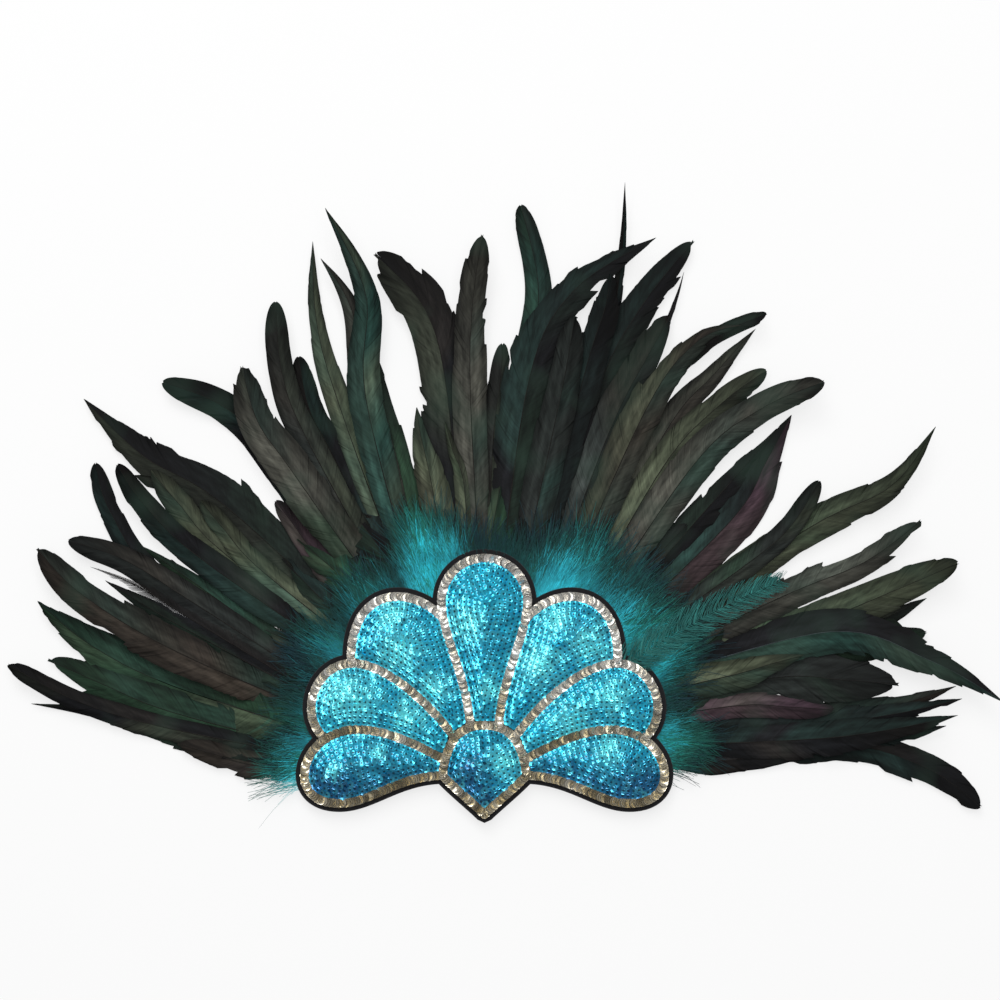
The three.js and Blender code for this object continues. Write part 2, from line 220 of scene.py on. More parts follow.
# The dye of the feather bases, by angle about the hub: how strong it is, and how far out it fades
DYE_ANGLES = (-8, 2, 14, 27, 40, 52, 66, 78, 90, 99, 107, 117, 127, 138, 147, 160, 177, 191)
DYE_SHARES = (0.4, 0.9, 0.1, 0.62, 0.6, 0.25, 0.7, 0.15, 0.2, 0.5, 1.0, 0.1, 0.45, 0.08, 0.3, 0.08, 0.35, 0.9)
DYE_REACH = (98, 104, 95, 113, 110, 112, 112, 99, 100, 106, 116, 98, 106, 97, 102, 95, 101, 103)
DYE_FADE = 16.0
DYE_COLOURS = ("#2cc4da", "#34d0ea", "#25a8b2", "#1f9488")
DYE_EDGE = "#1c6254"
DYE_EDGE_SHARES = (0.12, 0.75)

# Painted highlights on the sequins, where light gathers, in plan: each a place and its reach, in millimetres
GLEAMS = ((-9, 64, 9), (-44, 50, 11), (-46, 68, 8), (-26, 31, 8), (28, 43, 11), (53, 53, 10), (36, 66, 7),
          (-68, 27, 14), (-38, 18, 10), (43, 14, 10), (64, 27, 9), (-76, -10, 4), (-52, -1, 4), (62, 2, 7),
          (10, -6, 8), (2, 30, 6))

# Pools of painted shade on the sequins, or of painted light for a share below 0, in plan: a place, its reach
# and its share
SHADE_AND_LIGHT_POOLS = ((-6, -8, 7.746, 0.4), (9, -13, 8.3666, -0.7))

# Waves of painted shade across the panel sequins, and waves in the trim's silvery share: millimetres for a
# radian and the shift, on each axis
PANEL_SHADE_WAVES = ((9.0, 1.3), (8.0, 0.7))
TRIM_WAVES = ((9.0, 0.0), (7.0, 1.0))

# Trim lines on the right half of the patch, each a cubic curve from one joint to the next
TRIM_LINES = {
    "top_side": ((21.5, 74.5), (21.5, 58), (9, 38), (7.2, 13)),
    "upper_arc": ((21.3, 66.5), (38, 84), (68, 81), (66.5, 43.4)),
    "mid_side": ((66.5, 43.4), (50, 44), (28, 24), (15.8, 7.5)),
    "mid_arc": ((66.5, 43.4), (84, 43), (94, 19), (79.5, 5.5)),
    "lower_side": ((79.5, 5.5), (66, 15), (46, 10), (20.5, -4.5)),
    "lower_end": ((79.5, 5.5), (94, -4), (95, -26.5), (72.5, -26.5)),
    "lower_foot": ((72.5, -26.5), (57, -26.5), (44, -13), (21, -12.5)),
    "medallion_top": ((0, 12.5), (13, 12.5), (19, 4), (21, -12.5)),
    "medallion_foot": ((21, -12.5), (15, -19), (5, -27), (0, -32)),
}
TOP_CENTRE = 74.5
TOP_RADIUS = 21.5
TRIM_WIDTH = 5.0
FELT_RIM = 2.0
LINE_STEP = 0.4
DOME_RUN = 7.0
WHITE = np.ones(4)


def linear(code: str) -> Array:
    """Turns an sRGB hex colour into linear RGBA.

    Args:
        code: The colour as "#rrggbb".

    Returns:
        Four linear values, with alpha 1.
    """
    channels = np.array([int(code[k:k + 2], 16) / 255 for k in (1, 3, 5)])
    low = channels / 12.92
    high = ((channels + 0.055) / 1.055) ** 2.4
    return np.append(np.where(channels <= 0.04045, low, high), 1.0)


def add_node(tree: bpy.types.NodeTree, kind: str, attributes: dict, inputs: dict) -> bpy.types.Node:
    """Adds a node with its settings and links.

    Args:
        tree: The node tree.
        kind: The node's type.
        attributes: Settings by name.
        inputs: Values, or sockets to link from, by the input's name or index.

    Returns:
        The new node.
    """
    node = tree.nodes.new(kind)
    for name, value in attributes.items():
        setattr(node, name, value)
    for name, value in inputs.items():
        if isinstance(value, Socket):
            tree.links.new(value, node.inputs[name])
        else:
            node.inputs[name].default_value = value
    return node


class Recipe:
    """A material in the making: its node tree, and the steps that the finishes share."""

    def __init__(self, name: str) -> None:
        """Starts an empty material.

        Args:
            name: The material's name.
        """
        self.material = bpy.data.materials.new(name)
        self.material.use_nodes = True
        self.tree = self.material.node_tree
        self.tree.nodes.clear()

    def tint(self) -> Socket:
        """Returns the colour that the mesh carries."""
        return add_node(self.tree, "ShaderNodeAttribute", {"attribute_name": "tint"}, {}).outputs["Color"]

    def noise(self, grain_mm: float, detail: float) -> Socket:
        """Returns a noise in the part's own frame, with grains of one size."""
        place = add_node(self.tree, "ShaderNodeTexCoord", {}, {}).outputs["Object"]
        return self.pattern(place, (1 / (grain_mm * MM),) * 3, detail)

    def streaks(self, grain_mm: Pair, detail: float = 3.0) -> Socket:
        """Returns a noise in the plan of the barbs, with a grain along the shaft and one along the barb."""
        plan = add_node(self.tree, "ShaderNodeUVMap", {"uv_map": "barbs"}, {}).outputs["UV"]
        return self.pattern(plan, (1 / grain_mm[0], 1 / grain_mm[1], 1.0), detail)

    def pattern(self, place: Socket, scale: tuple[float, float, float],
                detail: float) -> Socket:
        """Adds a noise whose grain is set on each axis.

        Args:
            place: The coordinates that it follows.
            scale: Grains for each unit of the coordinates, on each axis.
            detail: The noise's detail.

        Returns:
            Its strength at each point.
        """
        mapping = add_node(self.tree, "ShaderNodeMapping", {}, {"Vector": place, "Scale": scale})
        noise = add_node(self.tree, "ShaderNodeTexNoise", {}, {
            "Vector": mapping.outputs["Vector"], "Scale": 1.0, "Detail": detail})
        return noise.outputs["Fac"]

    def spread(self, value: Socket, low: float, high: float,
               span: Pair = NOISE_SPAN) -> Socket:
        """Returns a value that runs from low to high over a span of its own range."""
        return add_node(self.tree, "ShaderNodeMapRange", {}, {
            "Value": value, "From Min": span[0], "From Max": span[1],
            "To Min": low, "To Max": high}).outputs["Result"]

    def scaled(self, colour: Socket | tuple,
               share: Socket) -> Socket:
        """Returns a colour made lighter or darker by a share."""
        return add_node(self.tree, "ShaderNodeVectorMath", {"operation": "SCALE"}, {
            0: colour, "Scale": share}).outputs["Vector"]

    def mixed(self, share: Socket, first: Socket | tuple,
              second: tuple) -> Socket:
        """Returns the mix of two colours, by the share of the second."""
        return add_node(self.tree, "ShaderNodeMix", {"data_type": "RGBA"}, {
            0: share, 6: first, 7: second}).outputs[2]

    def bump(self, height: Socket, strength: float, depth_mm: float) -> Socket:
        """Returns normals that a pattern roughens."""
        return add_node(self.tree, "ShaderNodeBump", {}, {
            "Strength": strength, "Distance": depth_mm * MM, "Height": height}).outputs["Normal"]

    def finish(self, inputs: dict) -> Material:
        """Adds the shader and the output.

        Args:
            inputs: Values and sockets of the shader, by name.

        Returns:
            The finished material.
        """
        shader = add_node(self.tree, "ShaderNodeBsdfPrincipled", {}, inputs)
        add_node(self.tree, "ShaderNodeOutputMaterial", {}, {"Surface": shader.outputs["BSDF"]})
        return self.material


@dataclass(frozen=True)
class VaneFinish:
    """Tail-feather keratin: hooked barbs that give a satin streaked sheen with green and plum lights; the
    green patches of sheen are painted into the colour.
    """

    streak_mm: Pair = (0.7, 9.0)
    streak_shades: Pair = (0.86, 1.15)
    blotch_mm: Pair = (9.0, 2.6)
    blotch_shades: Pair = (0.5, 1.55)
    # Patches of green sheen painted into the colour: their grain, the stretch of noise they take, their
    # greatest share, their colour and its depth
    painted_sheen_mm: float = 26.0
    painted_sheen_span: Pair = (0.52, 0.75)
    painted_sheen_share: float = 0.3
    painted_sheen_colour: str = "#3f5a4c"
    painted_sheen_depth: float = 0.6
    roughness: float = 0.46

    def material(self) -> Material:
        """Makes the vane's material, which reads the tint of each barb and its own plan of streaks.

        Returns:
            The material.
        """
        recipe = Recipe("tail_feather_keratin")
        streak = recipe.streaks(self.streak_mm)
        colour = recipe.scaled(recipe.tint(), recipe.spread(streak, *self.streak_shades))
        colour = recipe.scaled(colour, recipe.spread(recipe.streaks(self.blotch_mm), *self.blotch_shades))
        # Painted sheen: green patches mixed into the base colour
        share = recipe.spread(recipe.noise(self.painted_sheen_mm, 1.0), 0.0, self.painted_sheen_share, self.painted_sheen_span)
        light = tuple(linear(self.painted_sheen_colour) * self.painted_sheen_depth)
        return recipe.finish({
            "Base Color": recipe.mixed(share, colour, light), "Roughness": self.roughness,
            "Specular IOR Level": 0.045, "Normal": recipe.bump(streak, 0.2, 0.1)})


@dataclass(frozen=True)
class DownFinish:
    """Dyed down: loose soft barbs that scatter light and hardly shine."""

    cloud_mm: float = 7.143
    cloud_shades: Pair = (0.75, 1.25)
    roughness: float = 0.85

    def material(self) -> Material:
        """Makes the down's material, which reads the tint of each strand.

        Returns:
            The material.
        """
        recipe = Recipe("dyed_turquoise_down")
        shade = recipe.spread(recipe.noise(self.cloud_mm, 2.0), *self.cloud_shades)
        return recipe.finish({
            "Base Color": recipe.scaled(recipe.tint(), shade), "Roughness": self.roughness,
            "Specular IOR Level": 0.2, "Sheen Weight": 0.25, "Sheen Roughness": 0.5})


@dataclass(frozen=True)
class FeltFinish:
    """Pressed wool felt: a matt tangle of short fibres, with a faint fuzz."""

    name: str
    dark: str
    light: str
    fibre_mm: float = 0.8

    def material(self) -> Material:
        """Makes the felt's material.

        Returns:
            The material.
        """
        recipe = Recipe(self.name)
        fibres = recipe.noise(self.fibre_mm, 5.0)
        return recipe.finish({
            "Base Color": recipe.mixed(fibres, tuple(linear(self.dark)), tuple(linear(self.light))),
            "Roughness": 0.95, "Specular IOR Level": 0.15, "Sheen Weight": 0.12, "Sheen Roughness": 0.6,
            "Normal": recipe.bump(fibres, 0.6, 0.3)})


@dataclass(frozen=True)
class SequinFinish:
    """Metallised plastic film pressed into cups: a coloured mirror under a clear gloss."""

    name: str
    metallic: float
    roughness: float
    scuff_mm: float = 1.2
    wear: Pair = (0.7, 1.4)

    def material(self) -> Material:
        """Makes the sequins' material, which reads the tint of each sequin.

        Returns:
            The material.
        """
        recipe = Recipe(self.name)
        scuffs = recipe.noise(self.scuff_mm, 2.0)
        return recipe.finish({
            "Base Color": recipe.tint(), "Metallic": self.metallic,
            "Roughness": recipe.spread(scuffs, *(self.roughness * share for share in self.wear)),
            "Coat Weight": 0.6, "Coat Roughness": 0.12, "Normal": recipe.bump(scuffs, 0.15, 0.05)})


@dataclass(frozen=True)
class FloorFinish:
    """Backlit white acrylic: an even glow that leaves only a faint shadow."""

    colour: str = "#f4f4f4"
    mottle_mm: float = 166.67
    shares: Pair = (0.2352, 0.24)
    glow: float = 0.717

    def material(self) -> Material:
        """Makes the floor's material.

        Returns:
            The material.
        """
        recipe = Recipe("backlit_white_acrylic")
        shade = recipe.spread(recipe.noise(self.mottle_mm, 2.0), *self.shares, (0.0, 1.0))
        return recipe.finish({
            "Base Color": recipe.scaled(tuple(linear(self.colour)[:3]), shade), "Roughness": 0.9,
            "Specular IOR Level": 0.05, "Emission Color": tuple(WHITE), "Emission Strength": self.glow})


def smooth_step(low: float, high: float, value: Array) -> Array:
    """Returns a smooth rise from 0 at low to 1 at high."""
    share = np.clip((value - low) / (high - low), 0.0, 1.0)
    return share * share * (3 - 2 * share)


def unit(vectors: Array) -> Array:
    """Returns vectors at length 1."""
    return vectors / np.linalg.norm(vectors, axis=-1, keepdims=True)


def left_of(headings: Array) -> Array:
    """Returns plan headings turned a quarter to the left."""
    return np.stack([-headings[..., 1], headings[..., 0]], axis=-1)


def polar(degrees: Array | float, radius: Array | float) -> Array:
    """Returns the plan points at angles in degrees and distances from the hub."""
    turn = np.radians(degrees)
    return np.stack([np.cos(turn) * radius, np.sin(turn) * radius], axis=-1)


def hub_angle(points: Array) -> Array:
    """Returns the angle of plan points about the hub, in degrees from -90 to 270."""
    angle = np.degrees(np.arctan2(points[..., 1], points[..., 0]))
    return np.where(angle < -90, angle + 360, angle)


def hub_distance(points: Array) -> Array:
    """Returns the distance of plan points from the hub."""
    return np.hypot(points[..., 0], points[..., 1])


def gaussian(offset: Array, reach: float) -> Array:
    """Returns a bell curve, 1 at no offset."""
    return np.exp(-(offset / reach) ** 2)


def drift(along: Array, knots: Array) -> Array:
    """Returns values at even knots, joined into one line along a feather."""
    return np.interp(along, np.linspace(0.0, 1.0, len(knots)), knots)


def along_line(stops: Array, lengths: Array, values: Array) -> Array:
    """Returns pairs of values at stops along a line, which has them at the given lengths."""
    return np.stack([np.interp(stops, lengths, values[:, k]) for k in range(2)], axis=-1)


def run_lengths(points: Array) -> Array:
    """Returns the length of a line of plan points up to each of them."""
    return np.append(0.0, np.cumsum(hub_distance(np.diff(points, axis=0))))


def resample(points: Array, step: float) -> Array:
    """Sets points out evenly along a line, both ends kept.

    Args:
        points: The line's plan points.
        step: About how far apart the new points are.

    Returns:
        The new points.
    """
    lengths = run_lengths(points)
    count = max(int(round(lengths[-1] / step)), 1) + 1
    return along_line(np.linspace(0.0, lengths[-1], count), lengths, points)


def dyed(points: Array, own: Array, dye: Array, jitter: Array | float) -> Array:
    """Dyes the base of a feather: its own colour runs through green into turquoise.

    Args:
        points: Plan points.
        own: The linear RGBA of the feather at each point.
        dye: The linear RGBA of the dye.
        jitter: How much farther out the dye runs at each point, in millimetres.

    Returns:
        Linear RGBA at each point, with alpha 1.
    """
    angle = hub_angle(points)
    past = (hub_distance(points) - jitter - np.interp(angle, DYE_ANGLES, DYE_REACH)) / DYE_FADE
    strength = np.interp(angle, DYE_ANGLES, DYE_SHARES)
    edge = (DYE_EDGE_SHARES[0] + DYE_EDGE_SHARES[1] * strength) * (1 - smooth_step(0.0, 1.0, past))
    full = strength * (1 - smooth_step(0.0, 1.0, past + 1))
    mixed = blend(blend(own, linear(DYE_EDGE), edge[..., None]), dye, full[..., None])
    mixed[..., 3] = 1.0
    return mixed


def blend(first: Array, second: Array, share: Array) -> Array:
    """Returns the mix of two colours, by the share of the second."""
    return first * (1 - share) + second * share


@dataclass
class Bundle:
    """Many small meshes that become one piece, each with its tints, its material and its plan."""

    points: list = field(default_factory=list)
    faces: list = field(default_factory=list)
    tints: list = field(default_factory=list)
    slots: list = field(default_factory=list)
    plans: list = field(default_factory=list)
    count: int = 0

    def add(self, points: Array, faces: list, tints: Array = WHITE, slot: int = 0) -> None:
        """Adds a mesh.

        Args:
            points: Points in metres.
            faces: The corners of each face, counted from 0.
            tints: Linear RGBA of each point, or one for all.
            slot: The number of its material.
        """
        self.points.append(points)
        self.faces.extend([[corner + self.count for corner in face] for face in faces])
        self.tints.append(np.broadcast_to(tints, (len(points), 4)))
        self.slots.extend([slot] * len(faces))
        self.count += len(points)

    def add_ribbons(self, rails: Array, tints: Array, plans: Array | None = None) -> None:
        """Adds ribbons of equal length.

        Args:
            rails: Points as ribbon, station, rail, axis, in millimetres.
            tints: Linear RGBA of the same points.
            plans: UV of the same points, for pieces that have a plan.
        """
        index = np.arange(rails[..., 0].size).reshape(rails.shape[:-1])
        near, far = index[:, :-1], index[:, 1:]
        quads = np.stack([near[..., :-1], far[..., :-1], far[..., 1:], near[..., 1:]], axis=-1)
        self.add(rails.reshape(-1, 3) * MM, quads.reshape(-1, 4).tolist(), tints.reshape(-1, 4))
        if plans is not None:
            self.plans.append(plans.reshape(-1, 2))

    def piece(self, name: str, *materials: Material) -> Piece:
        """Makes one object of all that was added.

        Args:
            name: The piece's name.
            materials: Its materials, by their numbers.

        Returns:
            The new object, linked to the scene.
        """
        mesh = bpy.data.meshes.new(name)
        mesh.from_pydata(np.concatenate(self.points).tolist(), [], self.faces)
        mesh.shade_smooth()
        layer = mesh.color_attributes.new("tint", "FLOAT_COLOR", "POINT")
        layer.data.foreach_set("color", np.concatenate(self.tints).astype(np.float32).ravel())
        if self.plans:
            corners = np.empty(len(mesh.loops), dtype=np.int32)
            mesh.loops.foreach_get("vertex_index", corners)
            plans = np.concatenate(self.plans)[corners].astype(np.float32)
            mesh.uv_layers.new(name="barbs").data.foreach_set("uv", plans.ravel())
        for material in materials:
            mesh.materials.append(material)
        mesh.polygons.foreach_set("material_index", self.slots)
        piece = bpy.data.objects.new(name, mesh)
        bpy.context.scene.collection.objects.link(piece)
        return piece


def place_piece(piece: Piece, slot: str, *nodes: str) -> None:
    """Puts a piece on the part's body, and hides the nodes that it stands for.

    Args:
        piece: The piece.
        slot: The record's material slot; not used.
        nodes: The nodes that it replaces, if any.
    """
    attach(piece, "root")
    if nodes:
        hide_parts(*nodes)
    LOG.info("%s: %d faces", piece.name, len(piece.data.polygons))


class Quill:
    """The plan curve of a feather's shaft, measured along its length in millimetres."""

    SPAN_POINTS = 40

    def __init__(self, feather: Feather) -> None:
        """Lays the curve through the feather's root, middle, bend and tip.

        Args:
            feather: The feather.
        """
        through = np.array([polar(feather.root, ROOT_RADIUS), feather.mid, feather.bend, feather.tip])
        padded = np.concatenate([through[:1], through, through[-1:]])
        share = np.linspace(0.0, 1.0, self.SPAN_POINTS, endpoint=False)[:, None]
        spans = []
        for k in range(len(through) - 1):
            before, start, end, after = padded[k:k + 4]
            slope_in, slope_out = (end - before) / 2, (after - start) / 2
            spans.append((2 * start - 2 * end + slope_in + slope_out) * share ** 3
                         + (3 * end - 3 * start - 2 * slope_in - slope_out) * share ** 2
                         + slope_in * share + start)
        self.points = np.concatenate([*spans, through[-1:]])
        self.stops = run_lengths(self.points)
        self.length = self.stops[-1]
        self.headings = np.gradient(self.points, self.stops, axis=0)

    def at(self, distance: Array) -> tuple[Array, Array]:
        """Gives the curve at distances from the root, and straight on past the tip.

        Args:
            distance: Distances in millimetres.

        Returns:
            The points and the unit normals to the left.
        """
        inside = np.clip(distance, 0.0, self.length)
        heading = unit(along_line(inside, self.stops, self.headings))
        point = along_line(inside, self.stops, self.points) + heading * (distance - inside)[..., None]
        return point, left_of(heading)


def cover_feathers() -> list[Feather]:
    """Sets out the short feathers that lie over the roots of the long ones.

    Returns:
        The feathers, in turn in each row.
    """
    rng = np.random.default_rng(SEED + 5)
    covers = []
    for number, angle in enumerate(np.linspace(*COVER_ARC, COVER_COUNT)):
        reach = rng.uniform(*COVER_REACH) - ROOT_RADIUS
        lean = rng.normal(0.0, COVER_LEAN)
        stops = (polar(angle + lean * share, ROOT_RADIUS + reach * share) for share in COVER_STOPS)
        row, kind = list(Row)[number % 3], ROUND if number % 3 else POINTED
        width = rng.uniform(*COVER_WIDTH)
        tone = COVER_TONES[number % len(COVER_TONES)]
        covers.append(Feather(row, kind, *map(tuple, stops), angle, width, tone, COVER_RAG))
    return covers


@dataclass
class FeatherRow:
    """A row of tail feathers: shafts with two vanes of barbs each, bound behind the patch."""

    row: Row
    material: Material
    barb_spacing: float = 0.8
    barb_stations: int = 5
    barb_sweep: float = 1.25
    vane_start: float = 6.0
    vane_width: float = 0.56
    root_share: float = 0.62
    round_run: float = 1.3
    round_fall: float = 0.25
    round_span: Pair = (0.6, 1.0)
    widest: float = 0.5
    sweep_start: float = 0.7
    wave: Pair = (0.04, 0.15)
    depth: float = 0.6
    stagger: float = 0.12
    camber: float = 0.05
    clump_chance: float = 0.1
    clump_lift: float = 0.12
    notch_spread: float = 0.55
    notch_most: float = 0.4
    loose: float = 0.3
    fluff: float = 0.3
    fluff_span: Pair = (0.1, 0.4)
    tip_gap: float = 0.1
    whole_rag: float = 0.4
    split_width: float = 1.6
    tone_depth: float = 0.38
    tone_most: float = 0.6
    coal_most: float = 0.32
    knots: int = 8
    second_tone: Pair = (0.2, 0.3)
    barb_shade: float = 0.05
    drift_shade: float = 0.22
    middle_light: tuple[float, float, float, float] = (0.8, 0.45, 0.45, 0.25)
    tip_dark: float = 0.5
    tip_span: Pair = (0.65, 1.0)
    across_shades: tuple[float, float, float] = (1.3, 0.9, 0.45)
    split_shade_depth: Pair = (0.2, 0.8)
    gleam_places: Pair = (0.2, 0.8)
    gleam_reach: float = 0.16
    painted_side_light: float = 0.12
    plan_apart: float = 500.0
    dye_jitter: float = 3.0
    shaft_thick: tuple[float, float, float] = (0.8, 0.45, 0.14)
    shaft_places: tuple[float, float, float] = (0.0, 0.4, 1.0)
    shaft_end: float = 0.985
    shaft_stations: int = 28
    shaft_sides: int = 5
    shaft_proud: float = 0.12

    def __post_init__(self) -> None:
        """Readies the row's random numbers and its bundle."""
        self.rng = np.random.default_rng(SEED + list(Row).index(self.row))
        self.bundle = Bundle()

    def build(self, feathers: list[Feather]) -> None:
        """Builds the row.

        Args:
            feathers: All feathers, of which the row takes its own.
        """
        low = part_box(self.row.value)[0][2] / MM
        own = [feather for feather in feathers if feather.row is self.row]
        for number, feather in enumerate(own):
            quill = Quill(feather)
            height = low + self.depth + self.stagger * (number % 3)
            for side in (-1, 1):
                self.add_vane(feather, quill, height, side)
            self.add_shaft(feather, quill, height)
        place_piece(self.bundle.piece(f"tail_{self.row.value}", self.material), "feathers", self.row.value)

    def half_width(self, feather: Feather, quill: Quill, distance: Array) -> Array:
        """Works out how wide a vane is, by the kind of its tip.

        Args:
            feather: The feather.
            quill: Its shaft.
            distance: Distances from the root.

        Returns:
            The half width at each distance.
        """
        along = np.clip(distance / quill.length, 0.0, 1.0)
        rise = self.root_share + (1 - self.root_share) * smooth_step(0.0, self.widest, along)
        if feather.kind is ROUND:
            ahead = np.clip((quill.length - distance) / (self.round_run * feather.width), 0.0, 1.0)
            fall = np.sqrt(1 - (1 - ahead) ** 2)
            fall = fall * (1 - self.round_fall * smooth_step(*self.round_span, along))
        else:
            fall = 1 - (np.maximum(along - self.widest, 0) / (1 - self.widest)) ** 2
        return self.vane_width * feather.width * rise * fall

    def rise(self, feather: Feather, height: float, point: Array) -> Array:
        """Works out how high a feather lies.

        Args:
            feather: The feather.
            height: The height of its root.
            point: Plan points.

        Returns:
            The height at each point.
        """
        distance = hub_distance(point)
        beyond = np.maximum(distance - LIFT_START, 0.0) / LIFT_REACH
        height = height + ROW_LIFT[self.row] * beyond * beyond
        return height + feather.over * smooth_step(*OVER_SPAN, distance)

    def add_vane(self, feather: Feather, quill: Quill, height: float, side: int) -> None:
        """Adds the barbs of one vane, in clumps that part at the ragged places.

        Args:
            feather: The feather.
            quill: Its shaft.
            height: The height of its shaft at the root.
            side: 1 for the left vane and -1 for the right one.
        """
        rng = self.rng
        count = int((quill.length - self.vane_start) / self.barb_spacing)
        start = self.vane_start + (np.arange(count) + 0.5) * self.barb_spacing
        along = start / quill.length
        half = self.half_width(feather, quill, start)
        clump = np.cumsum(rng.random(count) < self.clump_chance)
        clumps = clump[-1] + 1
        lift = rng.normal(0.0, self.clump_lift, clumps)[clump]
        wave = drift(along, rng.normal(1.0, self.wave[0] + self.wave[1] * feather.rag, self.knots + 1))
        tear = feather.rag * np.abs(rng.normal(0.0, self.notch_spread, clumps))
        loose = self.loose * feather.rag ** 2 + self.fluff * (1 - smooth_step(*self.fluff_span, along))
        reach = (1 - np.minimum(tear, self.notch_most)[clump]) * (1 - loose * rng.random(count))
        end = np.clip(start + half * (self.sweep_start + along), start, quill.length - self.tip_gap)
        share = np.linspace(0.0, 1.0, self.barb_stations) * reach[:, None]
        centre = start[:, None] + (end - start)[:, None] * share ** self.barb_sweep
        out = share * (wave * self.half_width(feather, quill, end))[:, None]
        point, normal = quill.at(centre)
        place = point + normal * (side * out)[..., None]
        rise = self.rise(feather, height, point) - self.camber * out + lift[:, None] * share ** 2
        spine = np.concatenate([place, np.maximum(rise, FLOOR_CLEARANCE)[..., None]], axis=-1)
        rails = self.ribbons(spine, clump, share, feather.rag)
        tints = self.vane_tints(feather, side, along, clump, share, rails)
        shafts = np.broadcast_to(start[:, None, None] + side * self.plan_apart, rails.shape[:-1])
        plans = np.stack([shafts, np.broadcast_to(out[..., None], rails.shape[:-1])], axis=-1)
        self.bundle.add_ribbons(rails[:, :, ::side], tints[:, :, ::side], plans)

    def vane_tints(self, feather: Feather, side: int, along: Array, clump: Array, share: Array,
                   rails: Array) -> Array:
        """Colours a vane: two tones that run into each other, painted shade in the splits, a painted gleam, a
        left vane painted lighter and a dyed base.

        Args:
            feather: The feather.
            side: 1 for the left vane and -1 for the right one.
            along: How far along the shaft each barb starts.
            clump: The clump of each barb.
            share: How far out along its barb each station is.
            rails: The points of the barbs.

        Returns:
            Linear RGBA of each point.
        """
        rng, count = self.rng, len(along)
        own = linear((feather.left if side > 0 and feather.left else feather.tone).value) * self.tone_depth
        other = linear(rng.choice(SECOND_TONES).value) * self.tone_depth
        most = self.coal_most if feather.tone is COAL else self.tone_most
        turn = np.clip(drift(along, rng.normal(*self.second_tone, self.knots)), 0.0, most)
        own = blend(own, other, turn[:, None, None, None])
        shade = rng.normal(0.0, self.barb_shade, count)
        shade = np.exp(shade + drift(along, rng.normal(0.0, self.drift_shade, self.knots)))
        least, light, place, reach = self.middle_light
        shade = shade * (least + light * gaussian(along - place, reach))
        shade = shade * (1 - self.tip_dark * smooth_step(*self.tip_span, along))
        # Painted shade: barbs where one clump meets the next are darkened toward their ends
        split_shade = np.where(np.diff(clump, prepend=0) > 0, rng.uniform(*self.split_shade_depth, count), 0.0)[:, None]
        # Painted highlight: a band of shine across the vane, whose place drifts along the feather
        gleam = drift(along, rng.uniform(*self.gleam_places, self.knots))[:, None]
        inner, fall, shine = self.across_shades
        across = inner - fall * share ** 2 + shine * gaussian(share - gleam, self.gleam_reach)
        # The left vane is painted a little lighter than the right, as the shading of two vanes at different
        # tilts
        shade = shade[:, None] * across * (1 - split_shade * share) * (1 + self.painted_side_light * side)
        pick = rng.integers(0, len(DYE_COLOURS), clump[-1] + 1)[clump]
        dye = np.array([linear(code) for code in DYE_COLOURS])[pick][:, None, None]
        jitter = rng.normal(0.0, self.dye_jitter, count)[:, None, None]
        return dyed(rails[..., :2], own * shade[..., None, None], dye, jitter)

    def ribbons(self, spine: Array, clump: Array, share: Array, rag: float) -> Array:
        """Widens barbs until they meet their neighbours, but for the splits between clumps.

        Args:
            spine: Middle lines of the barbs, as barb, station, axis.
            clump: The clump of each barb.
            share: How far out along its barb each station is.
            rag: How ragged the feather is.

        Returns:
            The two rails of each barb.
        """
        meets = np.append(clump[1:] == clump[:-1], True)
        before = np.concatenate([spine[:1], spine[:-1]])
        after = np.concatenate([spine[1:], spine[-1:]])
        torn = self.split_width * max(rag - self.whole_rag, 0.0) * share
        rails = []
        for other, joined in ((before, np.roll(meets, 1)), (after, meets)):
            gap = np.where(joined[:, None], 0.5, 1.0) * torn
            rails.append(spine + (other - spine) * (0.5 - gap)[..., None])
        return np.stack(rails, axis=2)

    def add_shaft(self, feather: Feather, quill: Quill, height: float) -> None:
        """Adds the tapered shaft as a thin tube.

        Args:
            feather: The feather.
            quill: Its curve.
            height: Its height at the root.
        """
        stops = np.linspace(0.0, quill.length * self.shaft_end, self.shaft_stations)
        turn = np.linspace(0.0, 2 * math.pi, self.shaft_sides + 1)
        point, normal = quill.at(stops)
        half = np.interp(stops / quill.length, self.shaft_places, self.shaft_thick)[:, None] / 2
        rise = self.rise(feather, height, point) + self.shaft_proud
        plan = point[:, None] - normal[:, None] * (np.cos(turn) * half)[..., None]
        up = np.maximum(rise[:, None] + np.sin(turn) * half, FLOOR_CLEARANCE)
        own = linear(feather.shaft) * np.ones((*up.shape, 1))
        plans = np.stack(np.broadcast_arrays(stops[:, None], turn), axis=-1)
        self.bundle.add_ribbons(np.concatenate([plan, up[..., None]], axis=-1)[None],
                                dyed(plan, own, linear(DYE_COLOURS[0]), 0.0)[None], plans)


